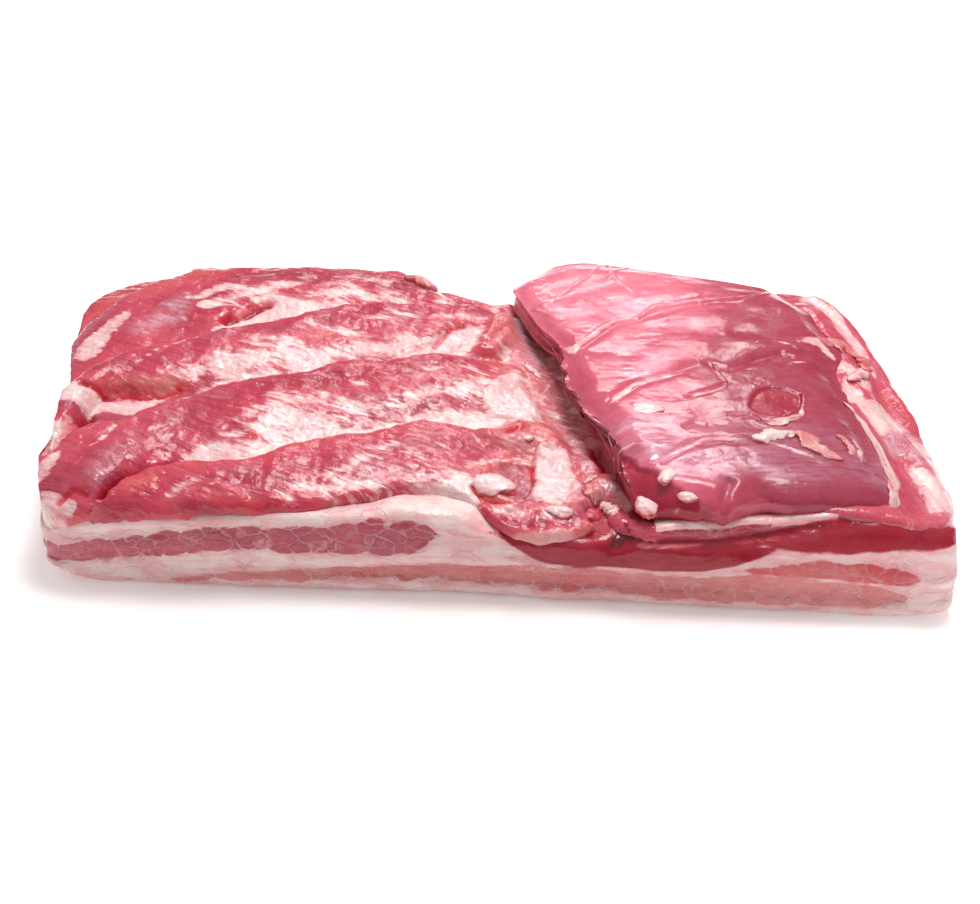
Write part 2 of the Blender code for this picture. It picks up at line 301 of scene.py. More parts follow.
def meat_finish(name, looks, tones, wet=1.0, fibres=1.0, streaks=1.0, sheen=0.0, stain=1.0):
    """Wet raw meat. Lean and fat part where the painted depth, shaken by streaks along the grain, passes zero.

    The lean runs through four colours by the painted tone. Film (silver skin, partly a painted sheen), purple and
    painted shade are laid over it, the cell borders of the lobes are fat, and fine streaks, flecks and a wet skin
    finish it.
    """
    f = Finish(bpy.data.materials.new(name))
    grain = f.field("grain", "Vector")
    place = f.node("ShaderNodeTexCoord", out="Object")
    lean, feather, tone, film = f.field("lean"), f.field("feather"), f.field("tone"), f.field("film")
    shade, lobes, purple = f.field("shade"), f.field("lobes"), f.field("purple")

    streak = f.noise(f.scaled(grain, (90.0, 1100.0, 300.0)), detail=4.0, keep=0.65, warp=0.3)
    wisp = f.noise(f.scaled(grain, (34.0, 270.0, 110.0)), detail=5.0, keep=0.66, warp=1.1)
    grit = f.noise(place, 620.0, 3.0, 0.6)
    cloud = f.noise(place, 60.0, 4.0, 0.58)
    lump = f.noise(place, 190.0, 3.0, 0.55, 0.6)

    bent = f.node("ShaderNodeTexNoise", {}, {"Vector": place, "Scale": 170.0, "Detail": 3.0}, out="Color")
    cell_place = f.node("ShaderNodeVectorMath", {"operation": "ADD"}, {
        0: f.scaled(place, (0.66, 0.9, 1.10)), 1: f.scaled(bent, (0.0052, 0.0052, 0.0052))})
    seam = f.step(f.edges(cell_place, 150.0), 0.010, 0.085, 1.0, 0.0) * f.step(cloud, 0.34, 0.60, 0.35, 1.0)
    fine_seam = f.step(f.edges(cell_place, 400.0), 0.02, 0.16, 1.0, 0.0) * f.step(lump, 0.4, 0.6, 0.1, 0.6)
    round_edge = (f.cells(cell_place, 150.0) - 0.42) * 3.4

    depth = lean + feather * ((streak - 0.5) * 1.7 + (wisp - 0.5) * 2.3) + (grit - 0.5) * 0.8
    depth = depth - lobes * (round_edge + seam * 0.5)
    soft = 0.35 + 0.36 * feather
    inside = f.step(depth, 0.0 - soft, soft)
    near = f.step(depth, -4.0, 0.4)
    inside = inside * (1.0 - lobes * (0.42 * seam + 0.22 * fine_seam))

    stops = [(0.0, rgba(tones[0])), (0.33, rgba(tones[1])), (0.66, rgba(tones[2])), (1.0, rgba(tones[3]))]
    shifted = tone + (cloud - 0.5) * 0.45 + (streak - 0.5) * 0.50 * streaks + (wisp - 0.5) * 0.55 * streaks
    meat = f.node("ShaderNodeValToRGB", {"stops": stops}, {"Fac": shifted})
    marbling = f.step(wisp + 0.6 * (streak - 0.5), 0.56, 0.76) * f.step(feather, 0.2, 3.0, 0.03, 0.38)
    meat = f.mix(marbling, meat, rgba(looks.pale_lean))
    meat = f.mix(purple * f.step(cloud, 0.25, 0.75, 0.6, 1.0), meat, rgba(looks.purple_lean))
    meat = f.mix(film * f.step(wisp + 0.5 * (lump - 0.5), 0.36, 0.66, 0.25, 1.0), meat, rgba(looks.film))

    blush = f.step(cloud + 0.8 * (wisp - 0.5), 0.34, 0.68, 0.0, 0.85)
    fat = f.mix(blush, rgba(looks.fat), rgba(looks.pink_fat))
    fat = f.mix(near * f.step(wisp, 0.34, 0.66, 0.20 * stain, 0.95 * stain), fat, rgba(looks.stained_fat))
    vein = f.step(f.edges(cell_place, 52.0), 0.0, 0.010, 1.0, 0.0) * f.step(cloud, 0.52, 0.62)
    fat = f.mix(vein * 0.25, fat, rgba(looks.orange_lean))
    colour = f.mix(inside, fat, meat)
    # Painted shade: the shade field darkens the colour through a red tint and deep red to near black in creases, holes
    # and under rims; on the darkest cut layers it deepens their own colour
    colour = f.mix(f.step(shade, 0.0, 0.22), colour, f.mix(0.9, colour, rgba(looks.shade_ramp_tint), "MULTIPLY"))
    colour = f.mix(f.step(shade, 0.16, 0.60), colour, rgba(looks.shade_ramp_red))
    colour = f.mix(f.step(shade, 0.55, 1.0, 0.0, 0.9), colour, rgba(looks.shade_ramp_dark))

    ripple = f.noise(f.scaled(grain, (75.0, 520.0, 220.0)), detail=2.0, keep=0.5, warp=0.5)
    skin = f.noise(place, 330.0, 2.0, 0.5)
    patch = f.noise(place, 95.0, 1.0, 0.5)
    beads = f.cells(place, 340.0)
    fatty = f.step(lean, -1.5, 0.5, 1.0, 0.0)
    roughness = f.step(patch, 0.36, 0.64, looks.gloss, looks.gloss + 0.16) + (1.0 - inside) * 0.05 - film * sheen
    height = ripple * (0.85 * fibres) * f.step(patch, 0.36, 0.60, 0.35, 1.0) + skin * (0.14 + 0.26 * fibres) + lump * (0.70 * fibres)
    height = height + fatty * (0.20 - 0.55 * beads) * fibres - lobes * seam * 0.40
    bump = f.node("ShaderNodeBump", {}, {"Strength": 1.0, "Distance": 0.0010, "Height": height})

    shader = f.tree.nodes.new("ShaderNodeBsdfPrincipled")
    f.tree.links.new(colour.socket, shader.inputs["Base Color"])
    f.tree.links.new(roughness.socket, shader.inputs["Roughness"])
    f.tree.links.new(bump.socket, shader.inputs["Normal"])
    constants = {"IOR": 1.42, "Subsurface Weight": looks.soft_light, "Subsurface Scale": 0.0030,
                 "Subsurface Radius": (1.0, 0.30, 0.22), "Coat Weight": 0.40 * wet, "Coat Roughness": 0.05,
                 "Coat IOR": 1.38}
    for key, value in constants.items():
        shader.inputs[key].default_value = value
    f.end("ShaderNodeOutputMaterial", Wire(f, shader.outputs[0]))
    return f.block


# ---------------------------------------------------------------- closed surfaces


def block_loop(top_round, bottom_round, top, bottom, front, back, turn):
    """Closed loop round a box from -1 to 1 across and up, with elliptical corners, from the front bottom.

    'front', 'top', 'back' and 'bottom' are rising shares from 0 to 1 of where points lie on each straight.
    """
    corner = np.linspace(0, np.pi / 2, turn + 1)[1:-1]
    low, high = bottom_round[1] - 1, 1 - top_round[1]
    bottom_reach, top_reach = 1 - bottom_round[0], 1 - top_round[0]

    def straight(start, end, shares):
        return np.array(start) + np.subtract(end, start) * np.asarray(shares)[:, None]

    def arc(centre, radii, begin):
        angle = begin - corner
        return np.stack([centre[0] + radii[0] * np.cos(angle), centre[1] + radii[1] * np.sin(angle)], 1)

    return np.concatenate([
        straight((-1, low), (-1, high), front),
        arc((-top_reach, high), top_round, np.pi),
        straight((-top_reach, 1), (top_reach, 1), top),
        arc((top_reach, high), top_round, np.pi / 2),
        straight((1, high), (1, low), back),
        arc((bottom_reach, low), bottom_round, 0.0),
        straight((bottom_reach, -1), (-bottom_reach, -1), bottom),
        arc((-bottom_reach, low), bottom_round, -np.pi / 2),
    ])


def even(count):
    return np.linspace(0, 1, count + 1)


def block_rows(end_round, rows, turn_rows, rings):
    """Place of each loop along the box from -1 to 1 and its size: flat end, quarter ellipse, straight."""
    turn = np.linspace(0, np.pi / 2, turn_rows + 1)
    inner = np.linspace(0, 1 - end_round, rings + 1)[1:-1]
    place = np.concatenate([np.full(rings - 1, -1.0), -1 + end_round * (1 - np.cos(turn))])
    size = np.concatenate([inner, 1 - end_round + end_round * np.sin(turn)])
    middle = np.linspace(-1 + end_round, 1 - end_round, rows + 1)[1:-1]
    return (
        np.concatenate([place, middle, -place[::-1]]),
        np.concatenate([size, np.ones(len(middle)), size[::-1]]),
    )


def grid_normals(points):
    """Outward unit normals of a grid of loops: the cross product of its two central differences."""
    along = np.gradient(points, axis=0)
    around = np.roll(points, -1, 1) - np.roll(points, 1, 1)
    normal = np.cross(around, along)
    length = np.linalg.norm(normal, axis=2, keepdims=True)
    return normal / np.maximum(length, 1e-12)


def unit_grid(loop, rows):
    """Long, across and high of every point of a block, as grids of loops."""
    place, size = rows
    shape = (len(place), len(loop))
    return (
        np.broadcast_to(place[:, None], shape).copy(),
        np.outer(size, loop[:, 0]),
        np.outer(size, loop[:, 1]),
    )


def outline_place(long, across, ends, sides):
    """Plan place of a point of the unit block. Each side depends on the other axis, so it is found in turns."""
    x, y = np.zeros_like(long), np.zeros_like(long)
    for _ in range(5):
        front, back = (curve(x, side, 0.005) for side in sides)
        y = front + (back - front) * (across + 1) / 2
        left, right = (curve(y, end, 0.005) for end in ends)
        x = left + (right - left) * (long + 1) / 2
    return x, y


def closed_mesh(name, points, paint=None, grain=None):
    """Mesh object from a grid of closed loops, with one point closing each end, smooth shaded.

    'paint' holds one value per grid point for each named attribute; 'grain' holds a coordinate per point.
    """
    rows, around = points.shape[:2]
    ends = [points[0].mean(0), points[-1].mean(0)]
    vertices = np.concatenate([points.reshape(-1, 3), ends])
    vertices -= np.array([MIDDLE[0], MIDDLE[1], 0.0])
    row, step = np.meshgrid(np.arange(rows - 1), np.arange(around), indexing="ij")
    here, after = row * around + step, row * around + (step + 1) % around
    quads = np.stack([here, here + around, after + around, after], -1).reshape(-1, 4)
    step = np.arange(around)
    first = np.stack([step, (step + 1) % around, np.full(around, rows * around)], 1)
    last = np.stack([(step + 1) % around, step, np.full(around, rows * around + 1)], 1)
    last[:, :2] += (rows - 1) * around
    corners = np.concatenate([quads.ravel(), first.ravel(), last.ravel()]).astype(np.int32)
    sizes = np.concatenate([np.full(len(quads), 4), np.full(len(first) + len(last), 3)])
    starts = np.concatenate([[0], np.cumsum(sizes)[:-1]]).astype(np.int32)

    mesh = bpy.data.meshes.new(name)
    mesh.vertices.add(len(vertices))
    mesh.vertices.foreach_set("co", vertices.astype(np.float32).ravel())
    mesh.loops.add(len(corners))
    mesh.loops.foreach_set("vertex_index", corners)
    mesh.polygons.add(len(sizes))
    mesh.polygons.foreach_set("loop_start", starts)
    mesh.update(calc_edges=True)
    mesh.polygons.foreach_set("use_smooth", np.ones(len(sizes), dtype=bool))

    def with_ends(values):
        values = np.asarray(values, float)
        return np.concatenate([values.reshape((-1,) + values.shape[2:]), [values[0].mean(0), values[-1].mean(0)]])

    for key, values in (paint or {}).items():
        layer = mesh.attributes.new(key, "FLOAT", "POINT")
        layer.data.foreach_set("value", with_ends(np.broadcast_to(values, points.shape[:2])).astype(np.float32))
    if grain is not None:
        layer = mesh.attributes.new("grain", "FLOAT_VECTOR", "POINT")
        layer.data.foreach_set("vector", with_ends(grain).astype(np.float32).ravel())
    if mesh.validate():
        raise RuntimeError(f"{name}: the mesh had faults")
    piece = bpy.data.objects.new(name, mesh)
    bpy.context.scene.collection.objects.link(piece)
    return piece


def settle(piece, material, replaced=False):
    """Give a piece its material and the body it rides on; when it replaces the CAD part, hide that part."""
    piece.data.materials.append(material)
    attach(piece, "root")
    if replaced:
        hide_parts(NODE)
    return piece


# ---------------------------------------------------------------- rib side

# Where the lean of each strip begins behind the groove in front of it: (x, distance)
LEAN_BEGINS = (
    ((-0.170, -0.004), (-0.075, -0.003), (-0.062, 0.005), (-0.049, 0.007), (-0.020, 0.008), (0.000, 0.022)),
    ((-0.165, -0.004), (-0.145, 0.002), (-0.134, 0.009), (-0.121, 0.022), (-0.110, 0.027), (-0.097, 0.034),
     (-0.090, 0.040), (-0.071, 0.028), (-0.036, 0.028), (-0.020, 0.030), (0.000, 0.044)),
    ((-0.195, 0.046), (-0.185, 0.038), (-0.173, 0.029), (-0.143, 0.029), (-0.134, 0.032), (-0.112, 0.029), (-0.098, 0.026),
     (-0.077, 0.028), (-0.060, 0.024), (-0.034, 0.026), (0.000, 0.033)),
    ((-0.205, -0.002), (-0.150, 0.002), (-0.140, 0.014), (-0.133, 0.026), (-0.120, 0.037), (-0.108, 0.038), (-0.096, 0.028),
     (-0.080, 0.018), (-0.060, 0.009), (-0.030, 0.007)),
)
STRIP_RISES = (0.0084, 0.0116, 0.0112, 0.0074)
CREST_SHARE = 0.80

# Edge of the lip that overhangs the hollow at the left end of the third strip
LIP = ((-0.197, -0.014), (-0.190, -0.021), (-0.180, -0.022), (-0.172, -0.021), (-0.167, -0.017), (-0.161, -0.020),
       (-0.152, -0.016), (-0.143, -0.010), (-0.130, 0.002))

# Crest of the last strip towards the valley, behind which it falls away, and the lower lobe at the back left corner
BACK_RIM = ((-0.052, 0.097), (-0.032, 0.088), (-0.024, 0.078), (-0.012, 0.071), (0.008, 0.074), (0.022, 0.086), (0.040, 0.096))
END_TERRACE = ((-0.204, 0.008), (-0.208, 0.019), (-0.206, 0.031), (-0.203, 0.043), (-0.197, 0.053), (-0.189, 0.064), (-0.180, 0.075),
               (-0.169, 0.083), (-0.160, 0.092), (-0.160, 0.112), (-0.225, 0.112), (-0.225, 0.004))

# Raised shapes of the rib side: outline, rise, softness of the rim
KNOB = ((-0.166, -0.090), (-0.164, -0.098), (-0.158, -0.100), (-0.156, -0.093), (-0.151, -0.089), (-0.146, -0.079),
        (-0.148, -0.070), (-0.156, -0.065), (-0.164, -0.072), (-0.167, -0.080))
WEB_FAT = ((0.002, -0.009), (0.009, 0.002), (0.017, 0.015), (0.021, 0.015), (0.022, 0.002), (0.027, -0.008), (0.034, -0.025),
           (0.024, -0.030), (0.016, -0.025), (0.007, -0.024))
FRONT_FAT = ((0.032, -0.046), (0.040, -0.044), (0.046, -0.048), (0.047, -0.062), (0.053, -0.077), (0.046, -0.086), (0.036, -0.088),
             (0.029, -0.083), (0.031, -0.072), (0.029, -0.062), (0.031, -0.054))
DARK_LEAN = ((0.012, -0.066), (0.018, -0.060), (0.030, -0.059), (0.030, -0.076), (0.024, -0.084), (0.021, -0.076), (0.016, -0.069))
RED_LUMP = ((0.004, -0.044), (0.012, -0.036), (0.020, -0.030), (0.028, -0.026), (0.035, -0.029), (0.042, -0.037), (0.045, -0.046),
            (0.034, -0.046), (0.026, -0.048), (0.018, -0.049), (0.010, -0.049))
END_LUMP = ((-0.004, 0.026), (0.000, 0.040), (0.002, 0.052), (0.008, 0.062), (0.014, 0.060), (0.016, 0.048), (0.013, 0.036), (0.007, 0.025))
BACK_LUMP = ((-0.014, 0.064), (-0.006, 0.078), (0.004, 0.088), (0.012, 0.090), (0.014, 0.076), (0.006, 0.066), (-0.004, 0.062))
LOWER_LOBE = ((-0.126, -0.104), (-0.120, -0.098), (-0.108, -0.095), (-0.098, -0.098), (-0.092, -0.103), (-0.100, -0.108), (-0.116, -0.108))
RAGGED_LIP = ((0.003, -0.094), (0.010, -0.090), (0.020, -0.087), (0.031, -0.088), (0.044, -0.088), (0.054, -0.082), (0.062, -0.090),
              (0.060, -0.102), (0.044, -0.112), (0.026, -0.114), (0.010, -0.111), (0.002, -0.102))
PADS = (
    (KNOB, 0.0012, 0.0040), (WEB_FAT, 0.0022, 0.0022), (FRONT_FAT, 0.0026, 0.0022), (DARK_LEAN, -0.0022, 0.0020),
    (RED_LUMP, 0.0052, 0.0045), (END_LUMP, 0.0048, 0.0035), (BACK_LUMP, 0.0030, 0.0040), (LOWER_LOBE, 0.0022, 0.0025),
    (RAGGED_LIP, 0.0022, 0.0026),
)

# Creases and holes of the rib side: path, half width, depth, darkness of the painted shade laid in them
CREASES_ABOVE = (
    (((-0.157, -0.103), (-0.156, -0.099), (-0.153, -0.094), (-0.147, -0.090), (-0.141, -0.084), (-0.133, -0.079)), 0.0024, 0.0055, 0.85),
    (((-0.146, 0.019), (-0.141, 0.023), (-0.136, 0.026)), 0.0026, 0.0045, 0.70),
    (((-0.132, 0.047), (-0.125, 0.052), (-0.119, 0.058), (-0.113, 0.062)), 0.0034, 0.0045, 0.55),
    (((-0.186, -0.025), (-0.173, -0.025), (-0.166, -0.021), (-0.160, -0.023), (-0.152, -0.019), (-0.143, -0.014)), 0.0016, 0.0022, 0.40),
    (((-0.188, -0.079), (-0.187, -0.066), (-0.184, -0.052), (-0.180, -0.042)), 0.0032, 0.0042, 0.35),
    (((-0.192, -0.010), (-0.180, 0.006), (-0.170, 0.015)), 0.0018, 0.0022, 0.45),
    (((-0.024, 0.028), (-0.017, 0.040), (-0.010, 0.045)), 0.0014, 0.0018, 0.25),
    (((0.004, -0.080), (0.009, -0.087), (0.020, -0.088), (0.025, -0.086)), 0.0014, 0.0024, 0.40),
    (((0.018, -0.039), (0.023, -0.034)), 0.0022, 0.0020, 0.35),
    (((0.062, -0.088), (0.066, -0.094), (0.071, -0.100), (0.076, -0.106)), 0.0060, 0.0130, 0.90),
    (((0.0590, -0.044), (0.0605, -0.051), (0.0625, -0.058)), 0.0036, 0.0034, 0.70),
    (((0.024, 0.056), (0.032, 0.036), (0.040, 0.014), (0.044, -0.008), (0.050, -0.026), (0.058, -0.046), (0.065, -0.064)), 0.0060, 0.0022, 0.04),
    (((0.029, -0.060), (0.030, -0.072), (0.027, -0.083)), 0.0012, 0.0014, 0.25),
    (((-0.176, -0.104), (-0.170, -0.098), (-0.164, -0.101)), 0.0014, 0.0018, 0.30),
)

# Fat laid over the strips: path, half width at its start and at its end
FAT_STROKES = (
    (((-0.197, 0.014), (-0.194, 0.024), (-0.190, 0.036), (-0.184, 0.047)), 0.0075, 0.0040),
    (((-0.155, 0.064), (-0.148, 0.066), (-0.143, 0.070), (-0.136, 0.077), (-0.125, 0.072)), 0.0020, 0.0022),
    (((-0.146, 0.058), (-0.133, 0.063), (-0.122, 0.069), (-0.110, 0.077), (-0.098, 0.081)), 0.0040, 0.0035),
    (((-0.082, 0.088), (-0.072, 0.089), (-0.053, 0.087)), 0.0008, 0.0014),
    (((-0.090, 0.080), (-0.079, 0.082), (-0.068, 0.081)), 0.0008, 0.0012),
    (((-0.108, 0.066), (-0.096, 0.066), (-0.086, 0.072), (-0.072, 0.076), (-0.056, 0.075), (-0.036, 0.073), (-0.016, 0.067)), 0.0030, 0.0024),
    (((-0.034, 0.087), (-0.026, 0.082), (-0.020, 0.073), (-0.030, 0.070)), 0.0016, 0.0026),
    (((-0.166, -0.010), (-0.162, -0.003), (-0.157, 0.006), (-0.148, 0.012), (-0.140, 0.016)), 0.0012, 0.0009),
    (((-0.155, 0.001), (-0.150, -0.003), (-0.146, -0.007), (-0.142, -0.010)), 0.0010, 0.0012),
    (((-0.142, -0.007), (-0.134, -0.004), (-0.126, 0.001), (-0.112, 0.008), (-0.100, 0.010), (-0.088, 0.015)), 0.0034, 0.0040),
    (((-0.122, 0.014), (-0.112, 0.015), (-0.101, 0.015), (-0.088, 0.020)), 0.0008, 0.0026),
    (((-0.115, 0.021), (-0.103, 0.020), (-0.090, 0.021)), 0.0006, 0.0018),
    (((-0.092, 0.031), (-0.086, 0.034), (-0.080, 0.035)), 0.0004, 0.0008),
    (((-0.091, 0.029), (-0.080, 0.031), (-0.060, 0.032)), 0.0004, 0.0010),
    (((-0.066, 0.038), (-0.058, 0.041), (-0.048, 0.043), (-0.042, 0.042)), 0.0006, 0.0014),
    (((-0.049, 0.049), (-0.040, 0.048), (-0.034, 0.045), (-0.026, 0.040)), 0.0006, 0.0012),
    (((-0.024, 0.048), (-0.015, 0.051), (-0.007, 0.054), (0.000, 0.057)), 0.0022, 0.0030),
    (((-0.026, 0.031), (-0.017, 0.034), (-0.008, 0.041), (0.000, 0.047)), 0.0012, 0.0026),
    (((-0.101, 0.006), (-0.092, 0.010), (-0.084, 0.012), (-0.074, 0.012), (-0.064, 0.020)), 0.0040, 0.0022),
    (((-0.062, 0.024), (-0.050, 0.024), (-0.042, 0.022), (-0.032, 0.020)), 0.0022, 0.0012),
    (((-0.058, -0.018), (-0.050, -0.017), (-0.043, -0.018), (-0.035, -0.020)), 0.0006, 0.0014),
    (((-0.032, -0.004), (-0.022, -0.001), (-0.014, 0.003), (-0.006, 0.008), (0.002, 0.006)), 0.0006, 0.0022),
    (((-0.028, -0.008), (-0.018, -0.007), (-0.010, -0.010), (0.000, -0.008)), 0.0008, 0.0016),
    (((-0.094, -0.034), (-0.081, -0.034), (-0.072, -0.032), (-0.062, -0.034)), 0.0030, 0.0012),
    (((-0.088, -0.050), (-0.079, -0.045), (-0.071, -0.041), (-0.058, -0.037), (-0.044, -0.030), (-0.034, -0.024)), 0.0040, 0.0014),
    (((-0.112, -0.050), (-0.100, -0.046), (-0.092, -0.040), (-0.084, -0.036)), 0.0014, 0.0028),
    (((-0.049, -0.066), (-0.040, -0.065), (-0.032, -0.062), (-0.025, -0.065), (-0.018, -0.070), (-0.012, -0.074)), 0.0008, 0.0024),
    (((-0.072, -0.087), (-0.059, -0.083), (-0.052, -0.079), (-0.046, -0.073), (-0.040, -0.069)), 0.0005, 0.0015),
    (((-0.082, -0.091), (-0.070, -0.093), (-0.059, -0.091), (-0.050, -0.088), (-0.040, -0.087)), 0.0009, 0.0034),
    (((-0.028, -0.083), (-0.016, -0.079), (-0.006, -0.073), (0.004, -0.066), (0.012, -0.060), (0.020, -0.055), (0.027, -0.054)), 0.0030, 0.0011),
    (((-0.126, -0.101), (-0.121, -0.096), (-0.116, -0.093)), 0.0006, 0.0011),
    (((-0.086, -0.093), (-0.079, -0.097), (-0.073, -0.100)), 0.0006, 0.0012),
    (((-0.173, -0.066), (-0.168, -0.058), (-0.164, -0.054)), 0.0008, 0.0004),
    (((-0.169, -0.079), (-0.164, -0.071), (-0.160, -0.061)), 0.0009, 0.0012),
    (((-0.035, -0.0545), (-0.030, -0.054)), 0.0007, 0.0006),
    (((-0.021, -0.058), (-0.018, -0.0565)), 0.0008, 0.0007),
    (((0.003, 0.066), (0.007, 0.075), (0.012, 0.070)), 0.0012, 0.0020),
    (((0.008, 0.060), (0.011, 0.050), (0.009, 0.042)), 0.0008, 0.0014),
    (((-0.186, -0.094), (-0.184, -0.088), (-0.180, -0.081)), 0.0040, 0.0016),
    (((-0.186, -0.106), (-0.178, -0.104), (-0.170, -0.106)), 0.0050, 0.0036),
    (((0.028, 0.020), (0.036, 0.022), (0.042, 0.016)), 0.0010, 0.0014),
    (((0.030, 0.001), (0.034, 0.012), (0.038, 0.020)), 0.0003, 0.0004),
    (((0.036, -0.095), (0.040, -0.094), (0.044, -0.096)), 0.0012, 0.0012),
    (((0.016, -0.094), (0.022, -0.093), (0.027, -0.095)), 0.0016, 0.0018),
    (((0.024, -0.042), (0.028, -0.044)), 0.0009, 0.0009),
)
FAT_SHAPES = (WEB_FAT, FRONT_FAT,
              ((-0.199, -0.034), (-0.194, -0.024), (-0.188, -0.025), (-0.178, -0.027), (-0.166, -0.026), (-0.158, -0.027), (-0.150, -0.024),
               (-0.160, -0.031), (-0.172, -0.032), (-0.184, -0.037), (-0.194, -0.040)),
              ((-0.030, -0.088), (-0.022, -0.081), (-0.014, -0.080), (0.000, -0.078), (0.004, -0.084), (0.000, -0.094), (-0.030, -0.094)))

# Lean laid over the fat between the strips: path, half widths
LEAN_STROKES = (
    (((0.006, -0.096), (0.017, -0.099), (0.028, -0.101), (0.041, -0.099), (0.050, -0.095), (0.055, -0.087)), 0.0040, 0.0040),
    (((-0.200, -0.050), (-0.188, -0.043), (-0.173, -0.038), (-0.157, -0.043), (-0.149, -0.034), (-0.143, -0.018), (-0.130, -0.009)), 0.0050, 0.0040),
    (((-0.203, -0.012), (-0.200, 0.000), (-0.196, 0.012)), 0.0080, 0.0060),
    (((-0.066, -0.027), (-0.055, -0.026), (-0.046, -0.027), (-0.034, -0.025)), 0.0030, 0.0030),
    (((-0.077, -0.037), (-0.071, -0.033), (-0.065, -0.037)), 0.0022, 0.0022),
    (((-0.058, -0.042), (-0.049, -0.038), (-0.039, -0.032), (-0.027, -0.026), (-0.013, -0.021), (-0.004, -0.019), (0.006, -0.017)), 0.0018, 0.0048),
    (((-0.055, 0.032), (-0.047, 0.036), (-0.040, 0.038), (-0.031, 0.036)), 0.0022, 0.0030),
    (((-0.067, 0.010), (-0.058, 0.014), (-0.052, 0.014), (-0.044, 0.013), (-0.036, 0.014)), 0.0022, 0.0020),
    (((-0.047, -0.081), (-0.037, -0.077), (-0.029, -0.075), (-0.022, -0.077), (-0.014, -0.079)), 0.0024, 0.0026),
    (((-0.024, -0.069), (-0.014, -0.063), (-0.006, -0.058), (0.003, -0.056), (0.010, -0.054)), 0.0032, 0.0036),
    (((-0.105, 0.047), (-0.094, 0.050), (-0.084, 0.055)), 0.0016, 0.0018),
    (((-0.108, 0.001), (-0.100, 0.003), (-0.093, 0.002)), 0.0012, 0.0018),
    (((-0.112, -0.062), (-0.104, -0.060), (-0.097, -0.058)), 0.0004, 0.0012),
)
LEAN_SHAPES = (RED_LUMP, DARK_LEAN, RAGGED_LIP, END_LUMP, LOWER_LOBE)

# Colour pushed towards orange (less) or deep red (more): path, half width, softness, change of tone
TONES = (
    (((0.006, -0.096), (0.017, -0.099), (0.028, -0.101), (0.041, -0.099), (0.050, -0.095), (0.055, -0.087)), 0.0030, 0.0020, 0.40),
    (((-0.190, -0.020), (-0.180, -0.021), (-0.167, -0.016), (-0.152, -0.014), (-0.140, -0.006)), 0.0035, 0.0030, -0.45),
    (((-0.126, -0.103), (-0.108, -0.099), (-0.092, -0.103)), 0.0050, 0.0030, -0.28),
    (((-0.146, -0.100), (-0.137, -0.095)), 0.0030, 0.0030, -0.45),
    (((-0.099, 0.021), (-0.085, 0.023), (-0.077, 0.029), (-0.062, 0.031)), 0.0020, 0.0020, -0.25),
    (((-0.152, 0.084), (-0.166, 0.082), (-0.178, 0.072)), 0.0080, 0.0080, -0.25),
    (((-0.206, 0.052), (-0.200, 0.066), (-0.190, 0.074)), 0.0060, 0.0040, -0.25),
    (((0.004, -0.103), (0.014, -0.107), (0.030, -0.108), (0.046, -0.104)), 0.0035, 0.0025, -0.50),
    (((-0.054, 0.083), (-0.045, 0.087), (-0.036, 0.088)), 0.0030, 0.0030, 0.25),
    (((-0.120, -0.106), (-0.100, -0.106), (-0.080, -0.104), (-0.064, -0.102)), 0.0020, 0.0020, 0.30),
    (((0.050, -0.096), (0.056, -0.090), (0.062, -0.080)), 0.0050, 0.0030, 0.15),
    (((0.040, -0.094), (0.030, -0.100), (0.020, -0.099)), 0.0025, 0.0020, 0.25),
)

# Silver skin, its whitish lilac partly a painted sheen where it would catch the light: path, half width, softness,
# strength
FILMS = (
    (((-0.161, -0.092), (-0.158, -0.082), (-0.152, -0.075)), 0.0030, 0.0070, 0.40),
    (((-0.172, 0.036), (-0.162, 0.048), (-0.156, 0.062)), 0.0050, 0.0060, 0.55),
    (((-0.168, 0.058), (-0.160, 0.055), (-0.153, 0.046)), 0.0008, 0.0010, 0.70),
    (((-0.172, -0.030), (-0.150, -0.032), (-0.132, -0.022)), 0.0050, 0.0040, 0.30),
    (((-0.204, 0.006), (-0.206, 0.024), (-0.202, 0.042), (-0.194, 0.056)), 0.0030, 0.0030, 0.25),
    (((0.016, 0.064), (0.024, 0.046), (0.028, 0.030)), 0.0040, 0.0040, 0.55),
    (((0.048, -0.032), (0.052, -0.044), (0.056, -0.056)), 0.0030, 0.0030, 0.55),
    (((0.058, -0.070), (0.062, -0.077), (0.067, -0.074)), 0.0020, 0.0020, 0.70),
    (((-0.052, 0.034), (-0.040, 0.038), (-0.030, 0.036)), 0.0030, 0.0030, 0.20),
    (((0.026, -0.060), (0.028, -0.070), (0.028, -0.078)), 0.0008, 0.0010, 0.50),
)

# Bluish lean without a skin: path, half width, softness, strength
PURPLES = (
    (((-0.188, -0.038), (-0.172, -0.037), (-0.155, -0.042), (-0.146, -0.034), (-0.136, -0.020), (-0.124, -0.010)), 0.0060, 0.0040, 0.65),
    (((-0.058, -0.042), (-0.039, -0.032), (-0.013, -0.021), (0.006, -0.017)), 0.0050, 0.0030, 0.50),
    (((-0.067, 0.010), (-0.052, 0.014), (-0.036, 0.014)), 0.0040, 0.0030, 0.60),
    (((-0.047, -0.081), (-0.029, -0.075), (-0.014, -0.079)), 0.0040, 0.0030, 0.45),
    (((0.020, -0.064), (0.026, -0.072), (0.026, -0.080)), 0.0060, 0.0030, 0.70),
    (((0.022, 0.082), (0.026, 0.050), (0.036, 0.018), (0.046, -0.020), (0.055, -0.046), (0.062, -0.070)), 0.0080, 0.0060, 0.28),
    (((-0.205, 0.000), (-0.207, 0.025), (-0.198, 0.050)), 0.0060, 0.0040, 0.50),
    (((-0.157, -0.096), (-0.158, -0.088)), 0.0060, 0.0050, 0.30),
    (((-0.115, -0.058), (-0.104, -0.055)), 0.0020, 0.0020, 0.20),
    (((-0.055, -0.026), (-0.036, -0.024)), 0.0040, 0.0030, 0.35),
)


